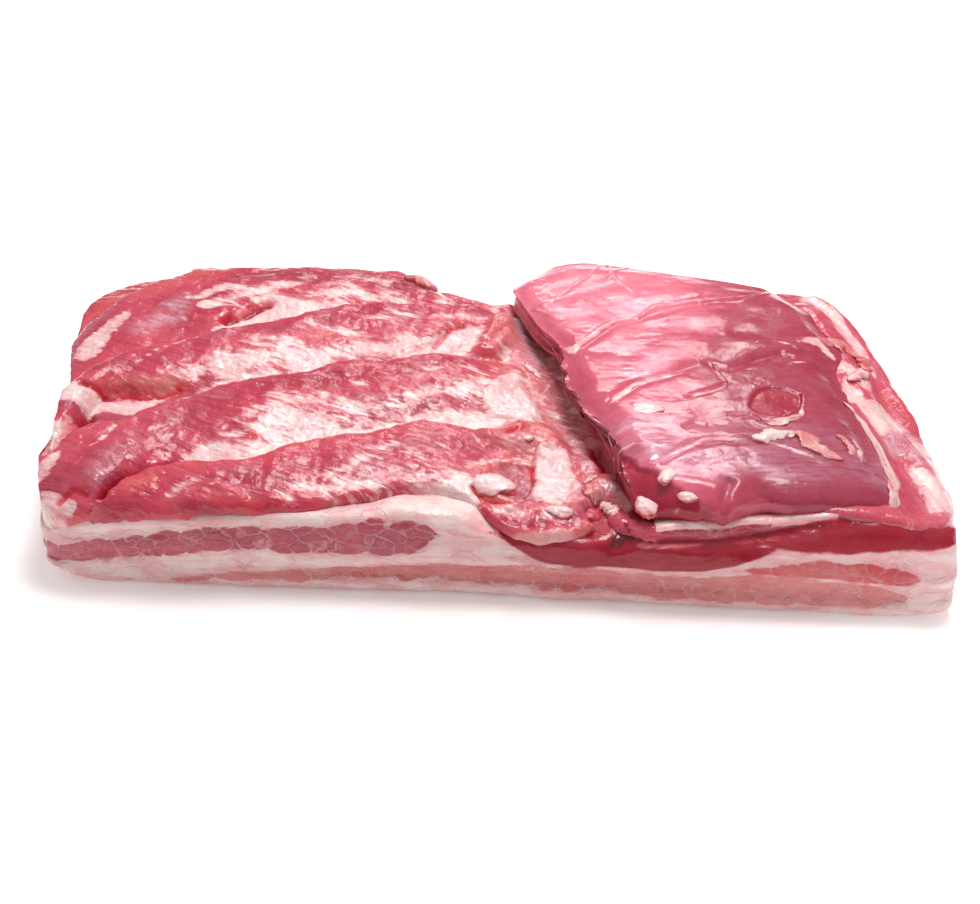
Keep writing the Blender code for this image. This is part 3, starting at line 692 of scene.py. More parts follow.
def strips_at(x, y):
    """Which strip a point is on, its distance behind the groove in front, the strip's width and share across."""
    lines = [curve(x, RIB_FRONT, 0.004)] + [curve(x, line, 0.005) for line in GROOVES] + [curve(x, RIB_BACK) + 0.003]
    number, behind, wide = np.zeros(x.shape, int), y - lines[0], np.full(x.shape, 0.03)
    for k, (near, far) in enumerate(zip(lines, lines[1:])):
        inside = y > near if k else np.full(x.shape, True)
        number = np.where(inside, k, number)
        behind = np.where(inside, y - near, behind)
        wide = np.where(inside, np.maximum(far - near, 0.004), wide)
    return number, behind, wide, np.clip(behind / wide, 0, 1)


def warped(x, y):
    """Plan place pushed about by two rough fields, so that no groove runs true."""
    return (
        x + 0.0012 * rough(x, y, 0 * x, 0.030, 11, 2),
        y + 0.0014 * rough(x, y, 0 * x, 0.024, 21, 2) + 0.0009 * rough(x, y, 0 * x, 0.008, 31, 2),
    )


def rib_height(x, y):
    """Height of the rib side: a base, four strips that rise as a sine and drop as a cosine, pads and creases."""
    inward = ease(y - curve(x, RIB_FRONT, 0.004), 0.000, 0.022)
    height = curve(x, FRONT_HEIGHT) * (1 - inward) + curve(x, MIDDLE_HEIGHT) * inward
    height = height - 0.003 * ease(y, 0.070, 0.105)
    wx, wy = warped(x, y)
    number, behind, wide, share = strips_at(wx, wy)
    lip = (1 - ease(x, -0.150, -0.118)) * ease(x, -0.190, -0.174) * (number == 2)
    begin = np.clip((curve(wx, LIP, 0.003) - (wy - behind)) / wide, 0, 0.7) * lip
    rise_power = np.where(number == 0, 0.50, 1.0 - 0.55 * lip) - 0.5 * (number == 1) * ease(-x, 0.130, 0.160)
    rise = np.sin(np.pi / 2 * np.clip((share - begin) / (CREST_SHARE - begin), 0, 1)) ** rise_power
    drop = np.cos(np.pi / 2 * np.clip((share - CREST_SHARE) / (1 - CREST_SHARE), 0, 1)) ** 0.7
    fade = 1 - ease(x, -0.030, 0.035)
    height = height + np.array(STRIP_RISES)[number] * np.minimum(rise, drop) * fade
    for outline, amount, soft in PADS:
        height = height + amount * ease(inside_shape(wx, wy, outline), -soft, soft)
    for path, half, depth, _ in CREASES_ABOVE:
        away, along = to_path(wx, wy, path)
        height = height - depth * np.exp(-((away / half) ** 2))
    height = height - 0.0090 * ease(y - curve(x, BACK_RIM, 0.003), 0.000, 0.007) * ease(x, -0.050, -0.034) * ease(0.030 - x, 0, 0.012)
    height = height - 0.0075 * ease(inside_shape(wx, wy, END_TERRACE), -0.0015, 0.0050)
    height = height + 0.0020 * rough(x, y, 0 * x, 0.022, 41, 4, 0.58)
    height = height + 0.0016 * rough(x, y, 0 * x, 0.0070, 47, 3) * ease(x, 0.002, 0.014) * ease(-y, 0.020, 0.050)
    return height


def fibre(x, y, angle=-14):
    """Plan place turned to the run of the muscle fibres, with a slow wander."""
    c, s = math.cos(math.radians(angle)), math.sin(math.radians(angle))
    along, across = x * c + y * s, y * c - x * s
    return along, across + 0.0030 * rough(x, y, 0 * x, 0.034, 51, 2)


def laid(x, y, rows):
    """Sum of soft strokes: each is its strength where the point is within its half width, easing out beyond."""
    return sum(strength * ease(half - to_path(x, y, path)[0], -soft, soft) for path, half, soft, strength in rows)


def rib_paint(x, y, z):
    """Colours of the rib side, as fields for its material; lean depth and feather are in millimetres."""
    wx, wy = warped(x, y)
    number, behind, wide, share = strips_at(wx, wy)
    begins = np.select([number == k for k in range(4)], [curve(x, line, 0.004) for line in LEAN_BEGINS])
    lean = np.minimum(behind - begins + 0.0070 + 0.0010 * (number < 3), (wide - behind) + 0.0004) * 1000
    inside = np.clip((behind - begins) / np.maximum(wide - begins, 0.004), -1, 1)
    left = ease(-x, 0.118, 0.160)
    feather = 5.0 * (1 - 0.75 * left) * (0.45 + 0.55 * ease(0.85 - share, 0.0, 0.4))
    middle = ease(x, 0.000, 0.018)
    lean = lean * (1 - middle) + (1.9 + 4.5 * rough(x, y, 0 * x, 0.012, 87, 4, 0.6)) * middle
    feather = feather * (1 - middle) + 1.6 * middle
    along, across = fibre(x, y)
    streak = rough(along, across, 0 * x, (0.022, 0.0022, 1), 61, 3)
    lean = lean + feather * 0.70 * streak
    sway = 0.0011 * rough(along, across, 0 * x, (0.010, 0.0030, 1), 65, 3)
    fray = sway + 0.0013 * rough(along, across, 0 * x, (0.007, 0.0020, 1), 69, 3) - 0.0002
    for path, start, end in LEAN_STROKES:
        lean = np.maximum(lean, 1000 * (inside_stroke(wx, wy, path, start, end) + sway))
    for path, start, end in FAT_STROKES:
        reach = to_path(wx, wy, path)[1]
        ends = 0.0012 * (1 - ease(reach, 0.0, 0.2) * ease(1 - reach, 0.0, 0.2))
        lean = np.minimum(lean, -1000 * (inside_stroke(wx, wy, path, start, end) - ends + fray))
    torn = 0.0020 * rough(x, y, 0 * x, 0.009, 73, 3) + 0.0012 * rough(x, y, 0 * x, 0.0035, 77, 2)
    for outline in LEAN_SHAPES:
        lean = np.maximum(lean, 1000 * (inside_shape(wx, wy, outline) + 0.0004 + sway + torn))
    for outline in FAT_SHAPES:
        lean = np.minimum(lean, -1000 * (inside_shape(wx, wy, outline) + sway + 1.2 * torn))
    for path, start, end in FAT_STROKES[-4:]:
        lean = np.minimum(lean, -1000 * (inside_stroke(wx, wy, path, start, end) + sway))
    lean = lean + 5.4 * rough(along, across, 0 * x, (0.017, 0.006, 1), 67, 4, 0.62) * (1 - 0.6 * left) * (1 - middle)
    tone = 0.56 + 0.30 * np.exp(-(((inside - 0.38) / 0.30) ** 2)) - 0.20 * ease(inside, 0.70, 0.98)
    tone = tone * (1 - middle) + 0.26 * middle
    tone = tone + 0.14 * rough(x, y, 0 * x, 0.036, 71, 2) + 0.10 * streak + laid(wx, wy, TONES)
    film = 0.04 + 0.08 * rough(x, y, 0 * x, 0.020, 81, 2) + laid(wx, wy, FILMS) + 0.30 * middle * (0.5 + rough(x, y, 0 * x, 0.011, 83, 3))
    purple = laid(wx, wy, PURPLES) + 0.08 * rough(x, y, 0 * x, 0.030, 86, 2)
    # Painted shade: darkness in the creases and holes, along the cracks at the back of the strips and in the grooves
    # between them
    shade = sum(dark * np.exp(-((to_path(wx, wy, path)[0] / (0.8 * half)) ** 2)) for path, half, _, dark in CREASES_ABOVE)
    crack_shade = ease(0.0013 - np.abs(wide - behind), 0.0, 0.0012) * (number < 3) * (1 - ease(x, -0.05, 0.0))
    gap = np.exp(-((np.minimum(behind, wide - behind) / 0.0030) ** 2)) * (1 - ease(x, -0.06, -0.01))
    shade = shade + 0.30 * crack_shade * (0.5 + 0.5 * rough(x, y, 0 * x, 0.018, 91, 2)) + 0.16 * gap * (0.5 + 0.5 * rough(x, y, 0 * x, 0.012, 95, 2))
    return lean, feather, np.clip(tone, 0, 1), np.clip(film, 0, 1), np.clip(shade, 0, 1), np.clip(purple, 0, 1), streak


def rib_layer(sizes):
    """Closed sheet over the left and middle of the slab, its rim rounded down and sunk into the body."""
    loop = block_loop((0.034, 0.95), (0.030, 0.9), even(sizes.rib_across), even(3), even(1), even(1), 9)
    long, across, high = unit_grid(loop, block_rows(0.055, sizes.rib_along, 14, 3))
    x, y = outline_place(long, across, (RIB_LEFT, RIB_RIGHT), (RIB_FRONT, RIB_BACK))
    top = rib_height(x, y)
    thick = 0.0065 + 0.014 * ease(-x, 0.160, 0.190) + 0.009 * ease(y, 0.080, 0.104)
    thick = thick + 0.006 * ease(1 - np.abs(across), 0.06, 0.2) * ease(1 - np.abs(long), 0.06, 0.2)
    z = top - thick * (1 - high) / 2
    points = np.stack([x, y, z], 2)
    lean, feather, tone, film, shade, purple, streak = rib_paint(x, y, z)
    normal = grid_normals(points)
    outer = ease(high, -0.9, 0.0)
    fat = ease(-lean, -0.5, 0.8)
    push = 0.0005 * rough(x, y, z, (0.010, 0.010, 0.006), 101, 3) + 0.00040 * streak * (1 - fat)
    push = push + 0.0006 * fat * rough(x, y, z, 0.0050, 111, 3) + 0.0003 * fat
    points = points + normal * (push * outer)[:, :, None]
    along, across_fibre = fibre(x, y)
    paint = {"lean": lean, "feather": feather, "tone": tone, "film": film, "shade": shade, "lobes": 0.0, "purple": purple}
    return closed_mesh("rib_layer", points, paint, np.stack([along, across_fibre, z], 2))


# ---------------------------------------------------------------- layered body

# Lean layers of the body: bottom and top (x, z), tone, share of lobes
LAYERS = (
    (((-0.160, 0.0035), (-0.137, 0.0013), (-0.108, 0.0041), (-0.072, 0.0061), (-0.027, 0.0085), (0.013, 0.0073), (0.044, 0.0067),
      (0.070, 0.0070), (0.106, 0.0043), (0.149, 0.0058), (0.178, 0.0040), (0.196, 0.0100), (0.200, 0.0200)),
     ((-0.160, 0.0030), (-0.137, 0.0036), (-0.107, 0.0088), (-0.071, 0.0119), (-0.027, 0.0161), (0.013, 0.0188), (0.035, 0.0206),
      (0.061, 0.0192), (0.105, 0.0170), (0.122, 0.0208), (0.147, 0.0210), (0.178, 0.0173), (0.192, 0.0150), (0.200, 0.0100)), 0.14, 0.80),
    (((-0.215, 0.0100), (-0.180, 0.0107), (-0.163, 0.0127), (-0.148, 0.0136), (-0.134, 0.0166), (-0.115, 0.0199), (-0.088, 0.0225),
      (-0.062, 0.0222), (-0.035, 0.0225), (-0.018, 0.0246), (-0.010, 0.0323), (-0.004, 0.040)),
     ((-0.215, 0.0230), (-0.178, 0.0234), (-0.162, 0.0243), (-0.146, 0.0268), (-0.132, 0.0298), (-0.114, 0.0324), (-0.087, 0.0349),
      (-0.061, 0.0352), (-0.050, 0.0374), (-0.035, 0.0393), (-0.017, 0.0391), (-0.010, 0.0351), (-0.004, 0.030)), 0.52, 1.0),
    (((0.010, 0.0345), (0.017, 0.0337), (0.031, 0.0232), (0.048, 0.0196), (0.070, 0.0219), (0.087, 0.0194), (0.104, 0.0198),
      (0.128, 0.0284), (0.140, 0.034)),
     ((0.010, 0.0340), (0.017, 0.0365), (0.035, 0.0335), (0.060, 0.0360), (0.078, 0.0313), (0.103, 0.0327), (0.127, 0.0345),
      (0.140, 0.032)), 1.0, 0.08),
    (((0.122, 0.0360), (0.128, 0.0340), (0.146, 0.0316), (0.167, 0.0317), (0.189, 0.0323), (0.215, 0.0328)),
     ((0.122, 0.0350), (0.128, 0.0366), (0.145, 0.0392), (0.165, 0.0428), (0.177, 0.0446), (0.204, 0.0470), (0.220, 0.0470)), 1.0, 0.06),
    (((0.115, 0.0240), (0.129, 0.0217), (0.147, 0.0210), (0.173, 0.0196), (0.190, 0.0179), (0.194, 0.0190), (0.200, 0.0240)),
     ((0.115, 0.0235), (0.129, 0.0245), (0.147, 0.0283), (0.172, 0.0286), (0.190, 0.0274), (0.194, 0.0260), (0.200, 0.0230)), 0.32, 0.55),
)

# Soft creases of the front face: (x, x), height (x, z), depth, half width
CREASES = (
    ((0.060, 0.205), ((0.060, 0.0345), (0.085, 0.0335), (0.110, 0.0340), (0.140, 0.0375), (0.165, 0.0415), (0.205, 0.0450)), 0.0035, 0.0016),
    ((-0.190, 0.200), ((-0.190, 0.006), (-0.100, 0.0095), (0.000, 0.0125), (0.100, 0.0110), (0.200, 0.010)), 0.0007, 0.0035),
    ((-0.170, 0.000), ((-0.170, 0.026), (-0.120, 0.0335), (-0.060, 0.0375), (0.000, 0.041)), 0.0009, 0.0030),
    ((0.030, 0.130), ((0.030, 0.0225), (0.060, 0.0195), (0.100, 0.0190), (0.130, 0.026)), 0.0010, 0.0025),
)


def body_top(x, y):
    """Top of the layered body: 2 mm under the front rim, 5 mm under the middle."""
    inward = ease(y - curve(x, FRONT_FACE), 0.000, 0.024)
    height = (curve(x, FRONT_HEIGHT) - 0.002) * (1 - inward) + (curve(x, MIDDLE_HEIGHT) - 0.005) * inward
    height = height - 0.0040 * ease(y, -0.082, -0.064) * (1 - ease(y, 0.060, 0.080))
    height = height - 0.004 * ease(y, 0.070, 0.105) - 0.006 * ease(-x, 0.172, 0.190)
    height = height + 0.0030 * ease(inside_oval(x, y, (-0.014, -0.094, 0.026, 0.012, 2)), -0.002, 0.004)
    return height + 0.0009 * rough(x, y, 0 * x, 0.020, 201, 3)


def layer_depth(x, y, z):
    """Signed depth in millimetres inside the nearest lean layer, its tone and its share of lobes.

    Each layer lies between two heights over x; both wander with x and y, so the back and the ends differ.
    """
    wander = ease(y, -0.090, 0.000)
    sx = x + 0.022 * wander * rough(x, y, 0 * x, 0.120, 211, 2)
    best = np.full(x.shape, -0.020)
    tone, lobes = np.zeros(x.shape), np.zeros(x.shape)
    for number, (bottom, top, its_tone, its_lobes) in enumerate(LAYERS):
        sway = 0.0007 * rough(x, y, z, (0.018, 0.018, 0.03), 221 + 10 * number, 3)
        sway = sway + 0.0035 * wander * rough(x, y, 0 * x, 0.070, 226 + 10 * number, 2)
        pinch = 0.0006 * rough(x, y, z, (0.009, 0.009, 0.02), 229 + 10 * number, 2)
        low, high = curve(sx, bottom, 0.003) + sway + pinch, curve(sx, top, 0.003) + sway - pinch
        depth = np.minimum(z - low, high - z)
        better = depth > best
        best = np.where(better, depth, best)
        tone = np.where(better, its_tone, tone)
        lobes = np.where(better, its_lobes, lobes)
    return best * 1000, tone, lobes


def body_place(long, across, high):
    """Place of a point of the unit block on the layered body; its front leans back at the right."""
    x, y = outline_place(long, across, (LEFT_END, RIGHT_END), (FRONT_FACE, BACK_FACE))
    low = 0.011 * ease(-x, 0.160, 0.200) + 0.003 * ease(x, 0.185, 0.215)
    top = body_top(x, y)
    share = (high + 1) / 2
    z = low + (top - low) * share
    front = ease(-across, 0.5, 0.95)
    relief = 0.0015 * np.exp(-(((share - 0.15) / 0.10) ** 2)) + 0.0018 * np.exp(-(((share - 0.60) / 0.16) ** 2))
    relief = relief - 0.012 * ease(share, 0.45, 1.0) * ease(x, 0.080, 0.190)
    relief = relief - 0.0060 * np.exp(-(((x - 0.0700) / 0.0060) ** 2)) * ease(share, 0.80, 0.95)
    for (start, end), line, depth, half in CREASES:
        along = ease(x, start - 0.01, start + 0.012) * (1 - ease(x, end - 0.012, end + 0.01))
        relief = relief - depth * along * np.exp(-(((z - curve(x, line)) / half) ** 2))
    silver = ease(z, curve(x, CREASES[0][1]), curve(x, CREASES[0][1]) + 0.0016) * ease(x, 0.070, 0.095)
    relief = relief - 0.0030 * silver
    return x, y - relief * front, z


def layered_body(sizes):
    """Closed block from the table to the rib side, with fine points on the cut front face."""
    loop = block_loop((0.045, 0.26), (0.035, 0.16), even(60), even(5), even(26), even(8), 6)
    long, across, high = unit_grid(loop, block_rows(0.060, sizes.body_along, 14, 6))
    x, y, z = body_place(long, across, high)
    points = np.stack([x, y, z], 2)
    lean, tone, lobes = layer_depth(x, y, z)
    normal = grid_normals(points)
    push = 0.0007 * rough(x, y, z, 0.022, 301, 2) + 0.00035 * rough(x, y, z, 0.006, 311, 3)
    push = push + 0.0004 * np.clip(lean, -1, 1) * (0.4 + 0.6 * lobes)
    underside = ease(-high, 0.90, 0.99) * ease(1.0 - np.abs(across), 0.0, 0.06)
    points = points + normal * (push * (1 - underside))[:, :, None]
    points[:, :, 2] = np.maximum(points[:, :, 2], 0.0)
    corner = ease(x, 0.176, 0.190)
    on_top = ease(z - body_top(x, y) + 0.0012, 0, 0.001) * ease(y, -0.104, -0.096) * (1 - corner)
    lean = lean * (1 - on_top) - 4.0 * on_top + 6.0 * on_top * np.maximum(ease(x, 0.055, 0.075), ease(y, 0.070, 0.085))
    silver = ease(z, curve(x, CREASES[0][1]), curve(x, CREASES[0][1]) + 0.001) * ease(x, 0.072, 0.090) * ease(-y, 0.060, 0.085)
    lean = np.where(silver > 0.5, 1.2 + 2.2 * rough(x, y, z, (0.012, 0.012, 0.004), 317, 3), lean)
    lean = np.where((silver > 0.5) & (z > body_top(x, y) - 0.0016) & (x < 0.184), -0.8, lean)
    # The silver layer's deep tone is partly its own dark lean, partly painted shade under the rim of the flap
    tone = np.where(silver > 0.5, 0.92, tone)
    lobes = np.where(silver > 0.5, 0.35, lobes)
    hole = ease(0.5 - abs(x - 0.0685) / 0.034, 0.0, 0.15) * ease(z - body_top(x, y) + 0.0045, 0, 0.003) * ease(y, -0.112, -0.108)
    lean, tone = lean * (1 - hole) + 1.5 * hole, tone * (1 - hole) + 0.9 * hole
    below = ease(0.0035 - z, 0, 0.003)
    lean = lean - 2.0 * below
    film = 0.05 + 0.10 * rough(x, y, z, 0.02, 321, 2) + 0.10 * silver
    # Painted shade: a dark line along the crease under the silver layer, and a dark pit in the hole under the front rim
    shade = 0.75 * np.exp(-(((z - curve(x, CREASES[0][1])) / 0.0010) ** 2)) * ease(x, 0.060, 0.085) * ease(-y, 0.080, 0.095)
    torn = 0.0015 * rough(x, y, z, 0.004, 341, 2)
    pit_shade = np.exp(-(((x - 0.0700 + torn) / 0.0066) ** 2) - ((z - body_top(x, y) + 0.0032 + torn) / 0.0030) ** 2)
    shade = shade + 1.10 * pit_shade * ease(-y, 0.094, 0.100)
    # Not shade: through the shade ramp this deepens the own colour of the darkest lean layers
    shade = shade + 0.17 * (lobes < 0.1) * ease(lean, -0.3, 0.6)
    paint = {"lean": lean, "feather": 0.55, "tone": tone + 0.10 * rough(x, y, z, 0.025, 331, 2), "film": np.clip(film, 0, 1),
             "shade": np.clip(shade, 0, 1), "lobes": lobes, "purple": 0.55 * ease(lobes, 0.85, 0.98) + 0.30 * (lobes < 0.1)}
    return closed_mesh("layered_body", points, paint, np.stack([x + y * 0.3, z * 0.8, y], 2))


# ---------------------------------------------------------------- flap of lean

# Seams and folds of the flap: path, half width, depth
FLAP_SEAMS = (
    (((0.106, 0.005), (0.120, 0.002), (0.135, 0.013), (0.145, 0.018), (0.163, 0.022)), 0.0024, 0.0014),
    (((0.068, -0.080), (0.086, -0.076), (0.100, -0.063), (0.113, -0.059), (0.132, -0.058), (0.160, -0.070)), 0.0030, 0.0011),
    (((0.052, -0.030), (0.060, -0.040), (0.066, -0.030), (0.075, -0.018), (0.090, -0.008), (0.106, 0.005)), 0.0030, 0.0010),
    (((0.038, 0.012), (0.046, 0.008), (0.055, 0.020), (0.066, 0.036), (0.078, 0.041), (0.098, 0.056), (0.140, 0.074)), 0.0030, 0.0009),
    (((0.098, -0.026), (0.110, -0.019), (0.119, -0.011), (0.115, 0.000), (0.112, 0.006)), 0.0016, 0.0007),
    (((0.030, 0.058), (0.045, 0.064), (0.070, 0.078), (0.100, 0.086)), 0.0060, 0.0008),
    (((0.114, -0.106), (0.112, -0.098), (0.116, -0.086)), 0.0026, 0.0028),
    (((0.120, 0.036), (0.140, 0.034), (0.166, 0.040)), 0.0060, 0.0007),
    (((0.096, -0.051), (0.102, -0.046), (0.108, -0.047)), 0.0014, 0.0010),
)

# White sinews of the flap: path, half width at the start and at the end
FLAP_SINEWS = (
    (((0.039, 0.017), (0.045, 0.011), (0.053, 0.020), (0.059, 0.030), (0.066, 0.038), (0.077, 0.042)), 0.0019, 0.0009),
    (((0.077, 0.042), (0.086, 0.054), (0.096, 0.057), (0.116, 0.066), (0.140, 0.075)), 0.0006, 0.0003),
    (((0.062, -0.037), (0.066, -0.031), (0.075, -0.018), (0.085, -0.011), (0.098, -0.004)), 0.0010, 0.0005),
    (((0.082, -0.080), (0.088, -0.075), (0.096, -0.067), (0.105, -0.060), (0.114, -0.058), (0.124, -0.056)), 0.0005, 0.0013),
    (((0.098, -0.026), (0.107, -0.021), (0.117, -0.015), (0.118, -0.011), (0.115, -0.004), (0.112, 0.005)), 0.0006, 0.0004),
    (((0.109, 0.063), (0.129, 0.065), (0.136, 0.070), (0.157, 0.094)), 0.0004, 0.0004),
    (((0.136, 0.027), (0.145, 0.028), (0.156, 0.024)), 0.0004, 0.0006),
    (((0.129, -0.038), (0.133, -0.042), (0.143, -0.038), (0.151, -0.034), (0.154, -0.015)), 0.0010, 0.0006),
    (((0.060, 0.079), (0.066, 0.090), (0.072, 0.098)), 0.0004, 0.0004),
    (((0.025, 0.051), (0.034, 0.057), (0.043, 0.069), (0.052, 0.080), (0.058, 0.096)), 0.0010, 0.0003),
    (((0.048, 0.057), (0.056, 0.051), (0.062, 0.044)), 0.0003, 0.0007),
    (((0.025, 0.051), (0.034, 0.041), (0.040, 0.035)), 0.0004, 0.0004),
    (((0.062, 0.100), (0.065, 0.081), (0.074, 0.068)), 0.0005, 0.0003),
    (((0.022, 0.076), (0.030, 0.084), (0.042, 0.090)), 0.0005, 0.0004),
    (((0.066, -0.066), (0.074, -0.064), (0.082, -0.068)), 0.0006, 0.0004),
    (((0.159, 0.031), (0.165, 0.034), (0.173, 0.026)), 0.0032, 0.0026),
    (((0.149, 0.020), (0.153, 0.018)), 0.0016, 0.0014),
    (((0.151, 0.011), (0.158, 0.013)), 0.0009, 0.0009),
    (((0.170, -0.010), (0.178, -0.016), (0.183, -0.028), (0.187, -0.044), (0.189, -0.060), (0.188, -0.086)), 0.0007, 0.0016),
    (((0.173, -0.044), (0.176, -0.052), (0.174, -0.062)), 0.0010, 0.0009),
    (((0.083, -0.108), (0.090, -0.101), (0.094, -0.098)), 0.0012, 0.0010),
)
CUT = ((0.1275, -0.029), (0.1285, -0.021), (0.1325, -0.0145), (0.139, -0.0115), (0.147, -0.0120), (0.1525, -0.0165), (0.1530, -0.025),
       (0.1495, -0.0315), (0.143, -0.0355), (0.1355, -0.0360), (0.1300, -0.0335))

# Corner of the flap where the skin is torn off: deep red
TORN_CORNER = ((0.052, -0.040), (0.060, -0.046), (0.064, -0.056), (0.071, -0.068), (0.080, -0.082), (0.090, -0.092), (0.103, -0.098),
               (0.109, -0.103), (0.100, -0.118), (0.050, -0.118))

# Silver skin of the flap, painted whitish lilac where it shines, a painted highlight: outline, softness, strength
FLAP_SHEENS = (
    (((0.057, -0.001), (0.066, 0.006), (0.075, -0.002), (0.085, 0.001), (0.094, -0.007), (0.080, -0.015), (0.066, -0.010)), 0.0030, 0.55),
    (((0.039, 0.033), (0.047, 0.037), (0.057, 0.037), (0.051, 0.027)), 0.0025, 0.55),
    (((0.065, -0.054), (0.072, -0.046), (0.080, -0.049), (0.092, -0.051), (0.080, -0.058)), 0.0025, 0.55),
    (((0.078, -0.063), (0.084, -0.059), (0.096, -0.061), (0.090, -0.070), (0.083, -0.078)), 0.0025, 0.60),
    (((0.078, 0.073), (0.088, 0.078), (0.098, 0.078), (0.088, 0.072)), 0.0030, 0.40),
    (((0.101, -0.066), (0.107, -0.068), (0.110, -0.076), (0.104, -0.086), (0.101, -0.078)), 0.0025, 0.50),
    (((0.112, -0.069), (0.117, -0.072), (0.120, -0.086), (0.114, -0.086)), 0.0022, 0.50),
    (((0.122, -0.072), (0.131, -0.076), (0.144, -0.078), (0.162, -0.083), (0.150, -0.088), (0.134, -0.087)), 0.0025, 0.55),
    (((0.050, 0.060), (0.062, 0.068), (0.076, 0.066), (0.064, 0.058)), 0.0040, 0.25),
    (((0.030, 0.046), (0.034, 0.060), (0.044, 0.062), (0.040, 0.048)), 0.0030, 0.35),
    (((0.055, 0.010), (0.066, 0.018), (0.082, 0.016), (0.070, 0.008)), 0.0030, 0.30),
)


def tear(x, y):
    """Unevenness of a torn outline in metres: two rough fields."""
    return 0.0030 * rough(x, y, 0 * x, 0.011, 435, 3) + 0.0012 * rough(x, y, 0 * x, 0.0035, 437, 2)


def flap_height(x, y):
    """Top of the flap: its height over x, rolled down towards each edge, with worn seams, sinews and long waves."""
    front, back = curve(x, FLAP_FRONT, 0.004), curve(x, FLAP_BACK, 0.004)
    left, right = curve(y, FLAP_LEFT, 0.003), curve(y, FLAP_RIGHT, 0.006)
    thin = 1 - ease(y, -0.035, 0.020)
    top = curve(x, FLAP_HEIGHT) + 0.0012
    top = top - (0.0036 + 0.0022 * thin) * (1 - ease(x - left, 0.0, 0.010 + 0.008 * thin)) ** 1.5
    top = top - 0.0050 * (1 - ease(right - x, 0.0, 0.020)) ** 1.3
    top = top - 0.0060 * hump(x, y, (0.012, 0.094, 0.016, 0.022, 0))
    top = top - 0.0050 * (1 - ease(y - front, 0.0, 0.013)) ** 1.5
    top = top - 0.0045 * (1 - ease(back - y, 0.0, 0.026)) ** 1.5
    for path, half, depth in FLAP_SEAMS:
        away, along = to_path(x, y, path)
        top = top - depth * np.exp(-((away / half) ** 2)) * ease(along, -0.01, 0.1) * ease(1 - along, -0.01, 0.1)
    for path, start, end in FLAP_SINEWS:
        top = top + 0.0005 * ease(inside_stroke(x, y, path, start, end), -0.0010, 0.0006)
    top = top - 0.0011 * ease(inside_shape(x, y, CUT) + 0.4 * tear(x, y), -0.0006, 0.0010)
    top = top - 0.0022 * ease(inside_shape(x, y, TORN_CORNER) + tear(x, y), -0.0010, 0.0016)
    u, v = fibre(x, y, 12)
    top = top + 0.0009 * rough(u, v, 0 * x, (0.050, 0.022, 1), 401, 2) + 0.00010 * rough(u, v, 0 * x, (0.030, 0.006, 1), 411, 2)
    top = top + 0.0011 * rough(x, y, 0 * x, 0.009, 415, 3) * (1 - ease(x - left, 0.004, 0.018))
    return top


